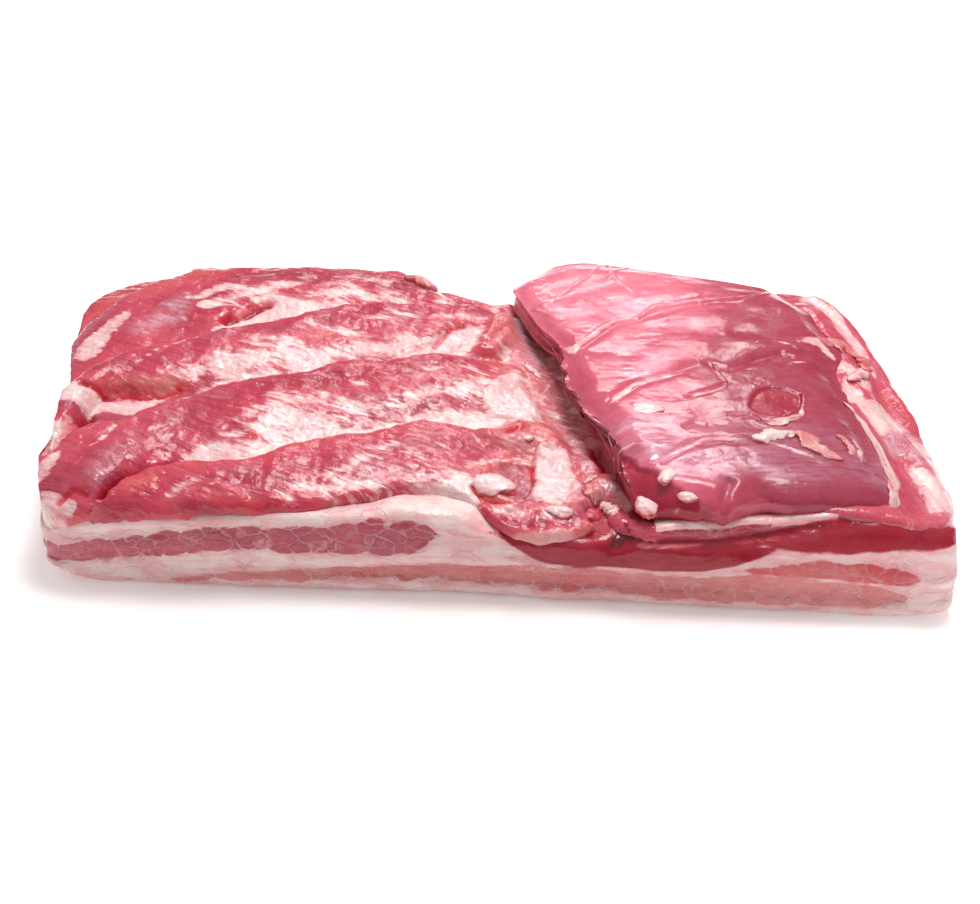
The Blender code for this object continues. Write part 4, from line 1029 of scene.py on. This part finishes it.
def flap_of_lean(sizes):
    """Closed thick sheet with a round rim and a torn left edge, lying loose on the right of the slab."""
    loop = block_loop((0.040, 0.95), (0.050, 0.9), even(sizes.flap_across), even(14), even(1), even(1), 10)
    long, across, high = unit_grid(loop, block_rows(0.055, sizes.flap_along, 12, 4))
    x, y = outline_place(long, across, (FLAP_LEFT, FLAP_RIGHT), (FLAP_FRONT, FLAP_BACK))
    lower = 1 - ease(y, -0.020, 0.040)
    jag = (0.0040 * rough(0 * x, y, 0 * x, 0.012, 421, 3) + 0.0026 * rough(0 * x, y, 0 * x, 0.0045, 425, 2)) * lower
    x = x + jag * ease(-long, 0.80, 1.0) + 0.0022 * rough(0 * x, y, 0 * x, 0.009, 427, 3) * ease(long, 0.85, 1.0)
    y = y + 0.0014 * rough(x, 0 * x, 0 * x, 0.012, 431, 3) * ease(-across, 0.88, 1.0)
    top = flap_height(x, y)
    rim = 0.0120 - 0.0055 * lower * ease(-long, 0.7, 1.0) + 0.012 * ease(across, 0.75, 1.0) - 0.002 * ease(long, 0.8, 1.0)
    rim = rim - 0.0010 * ease(-across, 0.7, 1.0) * ease(x, 0.075, 0.100)
    inner = ease(1 - np.abs(across), 0.05, 0.25) * ease(1 - np.abs(long), 0.08, 0.30)
    z = top - (rim + 0.006 * inner) * (1 - high) / 2
    points = np.stack([x, y, z], 2)
    normal = grid_normals(points)
    u, v = fibre(x, y, 12)
    sheen = sum(amount * ease(inside_shape(x, y, outline), -soft, soft) for outline, soft, amount in FLAP_SHEENS)
    push = 0.00025 * sheen * rough(u, v, z, (0.007, 0.0028, 0.004), 441, 2) + 0.0003 * rough(x, y, z, 0.012, 451, 2)
    points = points + normal * push[:, :, None]

    side = ease(-high, -0.75, 0.1)
    sway = 0.0005 * rough(x, y, z, (0.006, 0.006, 0.006), 455, 2)
    lean = np.full(x.shape, 6.0)
    fray = 0.0011 * rough(x, y, z, (0.010, 0.004, 0.006), 457, 3) - 0.0003
    for path, start, end in FLAP_SINEWS:
        along = to_path(x, y, path)[1]
        ends = 0.0012 * (1 - ease(along, 0.0, 0.15) * ease(1 - along, 0.0, 0.15))
        lean = np.minimum(lean, -1000 * (inside_stroke(x, y, path, start, end) - ends + sway + fray))
    cut = ease(inside_shape(x, y, CUT) + 0.4 * tear(x, y), -0.0006, 0.0008)
    edge = ease(0.011 - (y - curve(x, FLAP_FRONT, 0.004)), -0.003, 0.005) * ease(x, 0.080, 0.092)
    left_edge = ease(0.006 - (x - curve(y, FLAP_LEFT, 0.003)), -0.003, 0.004)
    tone = 0.06 + 0.24 * ease(-y, -0.060, -0.018) + 0.44 * ease(x, 0.085, 0.138)
    # The 0.20 * side term is painted shade: the lower sides of the rim are deepened
    tone = tone + 0.10 * rough(u, v, z, (0.05, 0.012, 0.02), 461, 2) + 0.20 * side + 0.40 * cut
    tone = tone - 0.10 * edge + 0.08 * ease(x, 0.090, 0.130) * ease(y, -0.030, 0.010) + 0.16 * left_edge * lower + 0.22 * laid(x, y, (((FLAP_SEAMS[0][0]), 0.0012, 0.0012, 1.0),))
    under = ease(inside_shape(x, y, ((0.112, -0.106), (0.116, -0.099), (0.128, -0.092), (0.146, -0.094), (0.140, -0.100), (0.120, -0.106))), -0.001, 0.001)
    tone = np.where(under > 0.5, 0.45, tone)
    torn = ease(inside_shape(x, y, TORN_CORNER) + tear(x, y) + sway, -0.0012, 0.0016)
    tone = tone + 0.75 * torn
    front = ease(-y, 0.034, 0.056) * (1 - edge) * (1 - torn)
    purple = 0.30 * front + 0.22 * ease(x, 0.110, 0.140) * ease(-y, -0.030, 0.010) + 0.08 * rough(x, y, z, 0.03, 471, 2)
    purple = purple * (1 - cut)
    # The sheen outlines lay a painted highlight, whitish lilac, over the silver skin; the rim sides get less of it
    film = 0.05 + 0.15 * front + sheen * (0.75 + 0.5 * rough(u, v, z, (0.012, 0.004, 0.01), 481, 3))
    film = (film + 0.06 * rough(u, v, z, (0.02, 0.008, 0.02), 485, 3)) * (1 - 0.8 * side) * (1 - 0.85 * edge) * (1 - 0.9 * cut) * (1 - 0.9 * torn)
    # Painted shade: a dark ring just inside the rim of the cut and on the sides of the front edge
    shade = 0.12 * cut * ease(0.0012 - inside_shape(x, y, CUT), 0, 0.001) + 0.05 * edge * side
    paint = {"lean": lean, "feather": 0.7, "tone": np.clip(tone, 0, 1), "film": np.clip(film, 0, 1), "shade": np.clip(shade, 0, 1),
             "lobes": 0.0, "purple": np.clip(purple, 0, 1)}
    return closed_mesh("flap_of_lean", points, paint, np.stack([u, v, z], 2))


# ---------------------------------------------------------------- right shoulder

SHOULDER_LEFT = ((-0.110, 0.150), (0.110, 0.130))
SHOULDER_RIGHT = ((-0.110, 0.2145), (-0.070, 0.2175), (0.000, 0.2075), (0.050, 0.1945), (0.080, 0.181), (0.104, 0.161))
SHOULDER_FRONT = ((0.120, -0.090), (0.175, -0.094), (0.200, -0.096), (0.215, -0.095))
SHOULDER_BACK = ((0.120, 0.104), (0.150, 0.102), (0.215, 0.092))
WHITE_STRIP = ((0.164, 0.075), (0.174, 0.053), (0.180, 0.034), (0.185, 0.015), (0.187, -0.002), (0.194, -0.021),
               (0.200, -0.034), (0.208, -0.045), (0.211, -0.072), (0.212, -0.092))
OUTER_LEAN = ((0.172, 0.088), (0.180, 0.076), (0.191, 0.056), (0.197, 0.028), (0.203, 0.001), (0.208, -0.012))


SHOULDER_FAT = (
    ((0.176, 0.011), (0.183, 0.003), (0.185, -0.005), (0.193, -0.002), (0.199, -0.012), (0.205, -0.020), (0.189, -0.029), (0.185, -0.021),
     (0.180, -0.008), (0.172, -0.010)),
    ((0.199, -0.050), (0.207, -0.052), (0.212, -0.062), (0.214, -0.080), (0.204, -0.083), (0.202, -0.071)),
    ((0.185, -0.098), (0.195, -0.096), (0.192, -0.102), (0.194, -0.113), (0.186, -0.113)),
)
SHOULDER_STROKES = (
    (((0.166, 0.088), (0.171, 0.081), (0.177, 0.072), (0.181, 0.060), (0.187, 0.046), (0.190, 0.034), (0.192, 0.022)), 0.0040, 0.0024),
    (((0.176, 0.024), (0.182, 0.016), (0.187, 0.008)), 0.0030, 0.0040),
    (((0.204, -0.026), (0.210, -0.042), (0.214, -0.058), (0.216, -0.080)), 0.0016, 0.0026),
)
SHOULDER_LEAN = (
    (((0.191, 0.026), (0.197, 0.007), (0.201, -0.005), (0.206, -0.018), (0.202, -0.016), (0.196, -0.005), (0.189, 0.001)), 0.55),
    (((0.194, -0.045), (0.197, -0.058), (0.204, -0.064), (0.203, -0.079), (0.191, -0.090), (0.188, -0.076)), 0.72),
    (((0.195, -0.100), (0.204, -0.090), (0.211, -0.093), (0.214, -0.106), (0.212, -0.118), (0.195, -0.118)), 0.78),
)
LILAC = ((0.188, -0.026), (0.201, -0.019), (0.210, -0.026), (0.206, -0.046), (0.193, -0.042))


def shoulder_height(x, y):
    """Top of the right shoulder: the slab's height, a roll of fat by the flap, a groove, a roll of lean outside."""
    inward = ease(y, -0.105, -0.080)
    height = curve(x, FRONT_HEIGHT) * (1 - inward) + curve(x, MIDDLE_HEIGHT) * inward
    height = height - 0.003 * ease(y, 0.070, 0.105)
    for path, half, rise in ((WHITE_STRIP, 0.0060, 0.0022), (OUTER_LEAN, 0.0055, 0.0030)):
        away, along = to_path(x, y, path)
        height = height + rise * np.exp(-((away / half) ** 2))
    height = height - 0.0030 * hump(x, y, (0.196, -0.020, 0.007, 0.050, 0))
    return height + 0.0010 * rough(x, y, 0 * x, 0.016, 501, 3)


def right_shoulder(sizes):
    """Closed sheet over the right of the slab, outside the flap, its rim rounded down over the edge."""
    loop = block_loop((0.050, 0.95), (0.050, 0.9), even(sizes.shoulder_across), even(12), even(1), even(1), 9)
    long, across, high = unit_grid(loop, block_rows(0.30, sizes.shoulder_along, 16, 4))
    x, y = outline_place(long, across, (SHOULDER_LEFT, SHOULDER_RIGHT), (SHOULDER_FRONT, SHOULDER_BACK))
    top = shoulder_height(x, y)
    thick = 0.0080 + 0.010 * ease(long, 0.3, 0.9) + 0.008 * ease(across, 0.8, 1.0)
    z = top - thick * (1 - high) / 2
    points = np.stack([x, y, z], 2)
    sway = 0.0009 * rough(x, y, z, 0.007, 505, 3)
    lean = np.full(x.shape, 1.2) + 2.0 * rough(x, y, z, 0.012, 507, 3)
    for outline in SHOULDER_FAT:
        lean = np.minimum(lean, -1000 * (inside_shape(x, y, outline) + sway))
    for path, start, end in SHOULDER_STROKES:
        lean = np.minimum(lean, -1000 * (inside_stroke(x, y, path, start, end) + sway))
    tone = 0.62 + 0.12 * rough(x, y, z, 0.025, 531, 2)
    for outline, its_tone in SHOULDER_LEAN:
        depth = inside_shape(x, y, outline) + sway
        lean = np.maximum(lean, 1000 * depth)
        tone = np.where(depth > 0, its_tone, tone)
    fat = ease(-lean, -0.5, 0.8)
    normal = grid_normals(points)
    push = 0.0006 * rough(x, y, z, 0.009, 511, 3) + 0.0006 * fat * rough(x, y, z, 0.0045, 521, 3)
    points = points + normal * push[:, :, None]
    lilac = ease(inside_shape(x, y, LILAC), -0.003, 0.004)
    low = ease(-y, 0.020, 0.045) * ease(x, 0.196, 0.206)
    film = 0.10 + 0.55 * lilac + 0.45 * low * (0.6 + 0.5 * rough(x, y, z, 0.010, 541, 2))
    u, v = fibre(x, y, -70)
    paint = {"lean": lean, "feather": 1.2, "tone": np.clip(tone, 0, 1), "film": np.clip(film, 0, 1), "shade": 0.0, "lobes": 0.0,
             "purple": 0.25 * lilac}
    return closed_mesh("right_shoulder", points, paint, np.stack([u, v, z], 2))


# ---------------------------------------------------------------- small pieces

# Lumps: place, half length, half width, half height, turn in degrees, share sunk in, share of lean
LUMPS = (
    ("bean", 0.0115, -0.0775, 0.0100, 0.0066, 0.0034, -20, 0.45, 0.0),
    ("oval", 0.0808, -0.0372, 0.0092, 0.0044, 0.0018, 4, 0.30, 0.0),
    ("lump_left", 0.0885, -0.0875, 0.0056, 0.0034, 0.0022, 62, 0.40, 0.0),
    ("lump_right", 0.0975, -0.0960, 0.0042, 0.0032, 0.0020, -10, 0.40, 0.0),
    ("lump_front", 0.0800, -0.0955, 0.0064, 0.0050, 0.0036, -60, 0.30, 0.0),
    ("lump_valley", 0.0268, -0.0440, 0.0028, 0.0018, 0.0015, 20, 0.40, 0.0),
    ("crumb_lump", 0.0420, -0.0920, 0.0060, 0.0038, 0.0022, -8, 0.40, 0.2),
    ("flesh_left", 0.0710, -0.0930, 0.0092, 0.0050, 0.0044, -48, 0.64, 1.0),
    ("flesh_right", 0.0805, -0.1000, 0.0098, 0.0050, 0.0042, -20, 0.68, 1.0),
    ("flesh_lip", 0.0555, -0.0880, 0.0070, 0.0046, 0.0034, 30, 0.45, 0.9),
)

# Strips of skin and fat lying on the slab: path, half width at the start, middle and end, thickness, lean or fat, tone
RIBBONS = (
    ("curl_fat", ((0.126, -0.056), (0.132, -0.055), (0.139, -0.052), (0.147, -0.050)), (0.0012, 0.0036, 0.0028), 0.0022, -2.5, 0.2),
    ("curl_lean", ((0.144, -0.049), (0.150, -0.051), (0.154, -0.057), (0.159, -0.063), (0.168, -0.066)), (0.0020, 0.0038, 0.0010), 0.0024, 0.9, 0.12),
    ("small_curl", ((0.165, -0.047), (0.170, -0.050), (0.172, -0.056), (0.170, -0.061)), (0.0012, 0.0024, 0.0008), 0.0018, 0.8, 0.15),
    ("cut_rim", ((0.131, -0.040), (0.137, -0.043), (0.145, -0.040), (0.151, -0.036)), (0.0008, 0.0018, 0.0010), 0.0014, 0.3, 0.05),
    ("fringe", ((0.172, -0.012), (0.179, -0.017), (0.184, -0.030), (0.188, -0.046), (0.190, -0.062), (0.190, -0.078), (0.186, -0.087)),
     (0.0010, 0.0026, 0.0030), 0.0011, -1.0, 0.2),
    ("orange_scrap", ((0.167, 0.036), (0.174, 0.040), (0.181, 0.040), (0.187, 0.032)), (0.0016, 0.0046, 0.0026), 0.0020, 1.0, 0.16),
    ("orange_tail", ((0.186, 0.036), (0.190, 0.029), (0.187, 0.020)), (0.0026, 0.0040, 0.0014), 0.0020, 1.2, 0.22),
    ("white_scrap", ((0.178, 0.009), (0.184, 0.014), (0.190, 0.021)), (0.0016, 0.0034, 0.0014), 0.0026, -1.0, 0.2),
    ("orange_fold", ((0.0520, -0.0790), (0.0570, -0.0770), (0.0625, -0.0780)), (0.0022, 0.0048, 0.0022), 0.0024, 1.4, 0.14),
    ("fat_wedge", ((0.0605, -0.0810), (0.0640, -0.0860), (0.0675, -0.0905)), (0.0014, 0.0034, 0.0026), 0.0030, -1.4, 0.2),
    ("membrane", ((0.0525, -0.0730), (0.0560, -0.0690), (0.0585, -0.0650)), (0.0012, 0.0018, 0.0010), 0.0012, -0.8, 0.3),
    ("back_scrap", ((-0.046, 0.091), (-0.036, 0.088), (-0.026, 0.080)), (0.0020, 0.0036, 0.0012), 0.0036, 0.8, 0.15),
    ("valley_fat", ((0.022, 0.028), (0.026, 0.020), (0.031, 0.014)), (0.0012, 0.0022, 0.0010), 0.0020, -0.6, 0.2),
)


def surface_at(x, y):
    """Height of the top at a place: the flap where it lies, otherwise the shoulder or the rib side."""
    on_flap = (x > curve(y, FLAP_LEFT, 0.003)) & (x < curve(y, FLAP_RIGHT, 0.006)) & (y > curve(x, FLAP_FRONT, 0.004))
    rest = np.where(x > 0.150, shoulder_height(x, y), np.maximum(rib_height(x, y), body_top(x, y)))
    return np.where(on_flap, flap_height(x, y), rest)


def bit_paint(points, lean, tone, film):
    x, y, z = points[:, :, 0], points[:, :, 1], points[:, :, 2]
    mottle = rough(x, y, z, 0.006, 601, 3)
    return {"lean": lean + 1.4 * mottle, "feather": 0.8, "tone": np.clip(tone + 0.15 * mottle, 0, 1), "film": film,
            "shade": 0.0, "lobes": 0.0, "purple": 0.0}


def fat_lump(row):
    """Ellipsoid of fat half sunk in the surface, made uneven by a rough field."""
    name, x, y, long, wide, tall, turn, sunk, meat = row
    polar, around = np.linspace(0, np.pi, 26)[1:-1, None], np.linspace(0, 2 * np.pi, 33)[None, :-1]
    u = -np.cos(polar) + 0 * around
    v = -np.sin(polar) * np.cos(around)
    w = np.sin(polar) * np.sin(around)
    swell = 1 + 0.50 * rough(u + x * 900, v, w, 0.75, 611, 3, 0.6)
    c, s = math.cos(math.radians(turn)), math.sin(math.radians(turn))
    px, py = x + (u * long * c - v * wide * s) * swell, y + (u * long * s + v * wide * c) * swell
    base = surface_at(np.full(1, x), np.full(1, y))[0]
    points = np.stack([px, py, base + (w - sunk) * tall * swell], 2)
    return closed_mesh(name, points, bit_paint(points, (0.6 - 5.0 * w) * (1 - meat) + 2.2 * meat, 0.30 + 0.5 * meat, 0.10 * meat), points)


def ribbon(row):
    """Flat strip swept along a path on the surface: an oval section whose half width swells and frays on the way."""
    name, path, halves, thick, lean, tone = row
    share = np.linspace(0, 1, 46)
    path = np.array(path)
    reach = np.linspace(0, 1, len(path))
    x = curve(share, np.stack([reach, path[:, 0]], 1), 0.10)
    y = curve(share, np.stack([reach, path[:, 1]], 1), 0.10)
    tangent = np.stack([np.gradient(x), np.gradient(y)], 1)
    tangent /= np.linalg.norm(tangent, axis=1, keepdims=True)
    taper = np.sqrt(np.clip(1 - np.abs(2 * share - 1) ** 5, 0.02, 1))
    half = np.interp(share, [0, 0.5, 1], halves) * taper
    seed = int(1000 * (path[0, 0] + 1))
    around = np.linspace(0, 2 * np.pi, 25)[None, :-1]
    v, w = -np.cos(around), np.sign(np.sin(around)) * np.abs(np.sin(around)) ** 0.7
    frayed = half[:, None] * (1 + 0.75 * rough(share[:, None] * 9 + 0 * v, v * 1.2, 0 * v + seed, 1.0, 621, 3)) + 0 * v
    px = x[:, None] - tangent[:, 1:] * v * frayed
    py = y[:, None] + tangent[:, :1] * v * frayed
    lift = 0.25 * thick + 0.0007 * rough(share[:, None] * 5, v, 0 * v + seed, 1.0, 631, 2)
    z = surface_at(px, py) + lift + w * thick / 2 * taper[:, None]
    points = np.stack([px, py, z], 2)
    grain = np.stack([share[:, None] * 0.03 + 0 * v, frayed * v, z], 2)
    return closed_mesh(name, points, bit_paint(points, lean, tone, 0.10), grain)


# ---------------------------------------------------------------- sizes and colours


def count(name, text, default):
    return bpy.props.IntProperty(name=name, description=text, default=default, min=20, max=600)


def tint(name, text, default):
    return bpy.props.FloatVectorProperty(name=name, description=text, default=default, min=0, max=1, size=3, subtype="COLOR")


class PorkSizes(bpy.types.PropertyGroup):
    body_along: count("Body rows", "Rows of points along the layered body", 420)
    rib_along: count("Rib rows", "Rows of points along the rib side", 330)
    rib_across: count("Rib points", "Points across the rib side", 236)
    flap_along: count("Flap rows", "Rows of points along the flap", 240)
    flap_across: count("Flap points", "Points across the flap", 255)
    shoulder_along: count("Shoulder rows", "Rows of points along the right shoulder", 60)
    shoulder_across: count("Shoulder points", "Points across the right shoulder", 220)


class PorkLooks(bpy.types.PropertyGroup):
    pale_lean: tint("Pale lean", "Palest lean, at the cut face", (0.72, 0.30, 0.28))
    orange_lean: tint("Orange lean", "Lean where it is thin over fat", (0.64, 0.082, 0.092))
    rose_lean: tint("Rose lean", "Lean of the strips", (0.58, 0.045, 0.088))
    deep_lean: tint("Deep lean", "Darkest lean", (0.38, 0.014, 0.040))
    flap_pink: tint("Flap pink", "Palest lean of the flap", (0.84, 0.20, 0.27))
    flap_rose: tint("Flap rose", "Middle lean of the flap", (0.64, 0.095, 0.160))
    flap_deep: tint("Flap deep", "Darker lean of the flap", (0.40, 0.034, 0.072))
    purple_lean: tint("Purple lean", "Lean under silver skin", (0.30, 0.055, 0.105))
    # Film is also the colour of the painted sheen on the silver skin
    film: tint("Film", "Silver skin over lean", (0.80, 0.52, 0.62))
    fat: tint("Fat", "Back fat and the fat between the strips", (0.88, 0.68, 0.66))
    pink_fat: tint("Pink fat", "Fat with lean showing through", (0.84, 0.44, 0.46))
    stained_fat: tint("Stained fat", "Thin fat beside the lean", (0.80, 0.25, 0.28))
    # Colours of the shade ramp: painted shade in creases, holes and under rims goes from this red tint through deep red
    # to near black
    shade_ramp_tint: tint("Raw edge", "Tint of the flesh beside a crease", (0.95, 0.26, 0.32))
    shade_ramp_red: tint("Bloody", "Wet red in the creases", (0.36, 0.006, 0.024))
    shade_ramp_dark: tint("Dark gap", "Blood dark hollows", (0.10, 0.003, 0.008))
    gloss: bpy.props.FloatProperty(name="Gloss", description="Lowest roughness of the wet surface", default=0.14, min=0, max=1, subtype="FACTOR")
    soft_light: bpy.props.FloatProperty(name="Soft light", description="Share of light carried under the surface", default=0.25, min=0, max=1,
                                        subtype="FACTOR")


class PorkStage(bpy.types.PropertyGroup):
    floor_size: bpy.props.FloatProperty(name="Floor", description="Side of the pale floor", default=8.0, unit="LENGTH")
    distance: bpy.props.FloatProperty(name="Camera distance", description="From the slab to the camera", default=0.752, unit="LENGTH")
    turn: bpy.props.FloatProperty(name="Camera turn", description="Camera turned to the right end", default=math.radians(3.7), subtype="ANGLE")
    rise: bpy.props.FloatProperty(name="Camera rise", description="Camera above the table", default=math.radians(36.0), subtype="ANGLE")
    lens: bpy.props.FloatProperty(name="Lens", description="Focal length in millimetres", default=58.0)
    key_power: bpy.props.FloatProperty(name="Top light", description="Power of the overhead softbox", default=9.0, unit="POWER")
    back_power: bpy.props.FloatProperty(name="Back light", description="Power of the low softbox behind", default=3.0, unit="POWER")
    # The floor's glow: low by the slab as a painted shadow, full far away
    near_glow_painted_shadow: tint("Near glow", "The floor's own light by the slab", (0.14, 0.12, 0.115))
    far_glow: tint("Far glow", "The floor's own light far away", (0.80, 0.80, 0.80))
    horizon: bpy.props.FloatProperty(name="Horizon", description="Strength of the room's light from the sides", default=0.06)
    zenith: bpy.props.FloatProperty(name="Zenith", description="Strength of the room's light from above", default=0.66)


# ---------------------------------------------------------------- operators


def tones_of(looks):
    return looks.pale_lean, looks.orange_lean, looks.rose_lean, looks.deep_lean


def flap_tones(looks):
    return looks.flap_pink, looks.flap_rose, looks.flap_deep, looks.deep_lean


class PORK_OT_layered_body(bpy.types.Operator):
    """Layered body with its cut faces"""

    bl_idname = "pork.layered_body"
    bl_label = "Layered body"

    def execute(self, context):
        looks = context.scene.pork_looks
        settle(layered_body(context.scene.pork_sizes), meat_finish("cut_layers", looks, tones_of(looks), wet=0.25, fibres=0.35, streaks=0.5, stain=0.55), True)
        return {"FINISHED"}


class PORK_OT_rib_layer(bpy.types.Operator):
    """Rib side with its four strips"""

    bl_idname = "pork.rib_layer"
    bl_label = "Rib side"

    def execute(self, context):
        looks = context.scene.pork_looks
        settle(rib_layer(context.scene.pork_sizes), meat_finish("rib_lean", looks, tones_of(looks)), True)
        return {"FINISHED"}


class PORK_OT_flap(bpy.types.Operator):
    """Loose flap of lean"""

    bl_idname = "pork.flap"
    bl_label = "Flap"

    def execute(self, context):
        looks = context.scene.pork_looks
        settle(flap_of_lean(context.scene.pork_sizes), meat_finish("flap_lean", looks, flap_tones(looks), wet=0.6, fibres=0.13, streaks=0.45, sheen=0.08), True)
        return {"FINISHED"}


class PORK_OT_shoulder(bpy.types.Operator):
    """Right shoulder outside the flap"""

    bl_idname = "pork.shoulder"
    bl_label = "Right shoulder"

    def execute(self, context):
        looks = context.scene.pork_looks
        settle(right_shoulder(context.scene.pork_sizes), meat_finish("shoulder_lean", looks, tones_of(looks), fibres=0.6), True)
        return {"FINISHED"}


class PORK_OT_small_pieces(bpy.types.Operator):
    """Lumps of fat, sinews and scraps on the slab"""

    bl_idname = "pork.small_pieces"
    bl_label = "Small pieces"

    def execute(self, context):
        looks = context.scene.pork_looks
        fat = meat_finish("lump_fat", looks, tones_of(looks), fibres=0.5)
        for row in LUMPS:
            settle(fat_lump(row), fat)
        for row in RIBBONS:
            settle(ribbon(row), fat)
        return {"FINISHED"}


def soft_light(name, place, towards, size, power, colour=(1.0, 1.0, 1.0)):
    lamp = bpy.data.lights.new(name, "AREA")
    lamp.shape, lamp.size, lamp.size_y, lamp.energy, lamp.color = "RECTANGLE", size[0], size[1], power, colour
    holder = bpy.data.objects.new(name, lamp)
    holder.location = place
    holder.rotation_euler = (Vector(towards) - Vector(place)).to_track_quat("-Z", "Y").to_euler()
    bpy.context.scene.collection.objects.link(holder)


class PORK_OT_stage(bpy.types.Operator):
    """Pale floor, soft light and camera"""

    bl_idname = "pork.stage"
    bl_label = "Stage"

    def execute(self, context):
        scene, stage = context.scene, context.scene.pork_stage
        half = stage.floor_size / 2
        mesh = bpy.data.meshes.new("floor")
        mesh.from_pydata([(-half, -half, 0), (half, -half, 0), (half, half, 0), (-half, half, 0)], [], [(0, 1, 2, 3)])
        floor = bpy.data.objects.new("floor", mesh)
        scene.collection.objects.link(floor)
        f = Finish(bpy.data.materials.new("pale_floor"))
        # The floor glows by its own emission, less near the slab: a painted soft shadow round it
        away = f.node("ShaderNodeVectorMath", {"operation": "LENGTH"}, {0: f.node("ShaderNodeTexCoord", out="Object")}, out="Value")
        glow = f.step(away, 0.14, 0.42)
        shine = f.mix(glow, rgba(stage.near_glow_painted_shadow), rgba(stage.far_glow))
        f.end("ShaderNodeOutputMaterial", f.node("ShaderNodeBsdfPrincipled", {}, {
            "Base Color": (0.90, 0.89, 0.885, 1), "Roughness": 0.9, "Specular IOR Level": 0.0,
            "Emission Color": shine, "Emission Strength": 1.0}))
        mesh.materials.append(f.block)

        world = Finish(bpy.data.worlds.new("studio"))
        scene.world = world.block
        towards = world.node("ShaderNodeTexCoord", out="Generated")
        rise = world.node("ShaderNodeSeparateXYZ", {}, {"Vector": towards}, out=2)
        strength = world.step(rise, -0.05, 0.95, stage.horizon, stage.zenith)
        sky = world.node("ShaderNodeBackground", {}, {"Color": (1.0, 0.985, 0.975, 1.0), "Strength": strength})
        world.end("ShaderNodeOutputWorld", sky)
        soft_light("top_softbox", (0.14, 0.20, 1.12), (0.0, 0.0, 0.0), (0.50, 0.34), stage.key_power)
        soft_light("back_softbox", (0.05, 1.00, 0.80), (0.0, 0.0, 0.03), (0.55, 0.20), stage.back_power)

        camera_data = bpy.data.cameras.new("camera")
        camera = bpy.data.objects.new("camera", camera_data)
        scene.collection.objects.link(camera)
        camera_data.lens, camera_data.sensor_width, camera_data.clip_start = stage.lens, 36.0, 0.01
        forward = Vector((-math.sin(stage.turn) * math.cos(stage.rise), math.cos(stage.turn) * math.cos(stage.rise), -math.sin(stage.rise)))
        camera.location = Vector((0.0049, -0.0275, 0.0235)) - stage.distance * forward
        camera.rotation_euler = forward.to_track_quat("-Z", "Y").to_euler()
        scene.camera = camera
        scene.view_settings.view_transform = "Standard"
        return {"FINISHED"}


class PORK_PT_panel(bpy.types.Panel):
    """Lists the steps that build the slab"""

    bl_idname = "PORK_PT_panel"
    bl_label = "Pork belly slab"
    bl_space_type = "VIEW_3D"
    bl_region_type = "UI"
    bl_category = "Pork"

    def draw(self, context):
        for step in STEPS:
            self.layout.operator(step.bl_idname)


STEPS = (PORK_OT_layered_body, PORK_OT_rib_layer, PORK_OT_flap, PORK_OT_shoulder, PORK_OT_small_pieces, PORK_OT_stage)
GROUPS = (("pork_sizes", PorkSizes), ("pork_looks", PorkLooks), ("pork_stage", PorkStage))


def register():
    for name, group in GROUPS:
        bpy.utils.register_class(group)
        setattr(bpy.types.Scene, name, bpy.props.PointerProperty(type=group))
    for step in STEPS + (PORK_PT_panel,):
        bpy.utils.register_class(step)


def unregister():
    for step in reversed(STEPS + (PORK_PT_panel,)):
        bpy.utils.unregister_class(step)
    for name, group in reversed(GROUPS):
        delattr(bpy.types.Scene, name)
        bpy.utils.unregister_class(group)


def main():
    register()
    for step in STEPS:
        group, action = step.bl_idname.split(".")
        getattr(getattr(bpy.ops, group), action)()


if __name__ == "__main__":
    main()
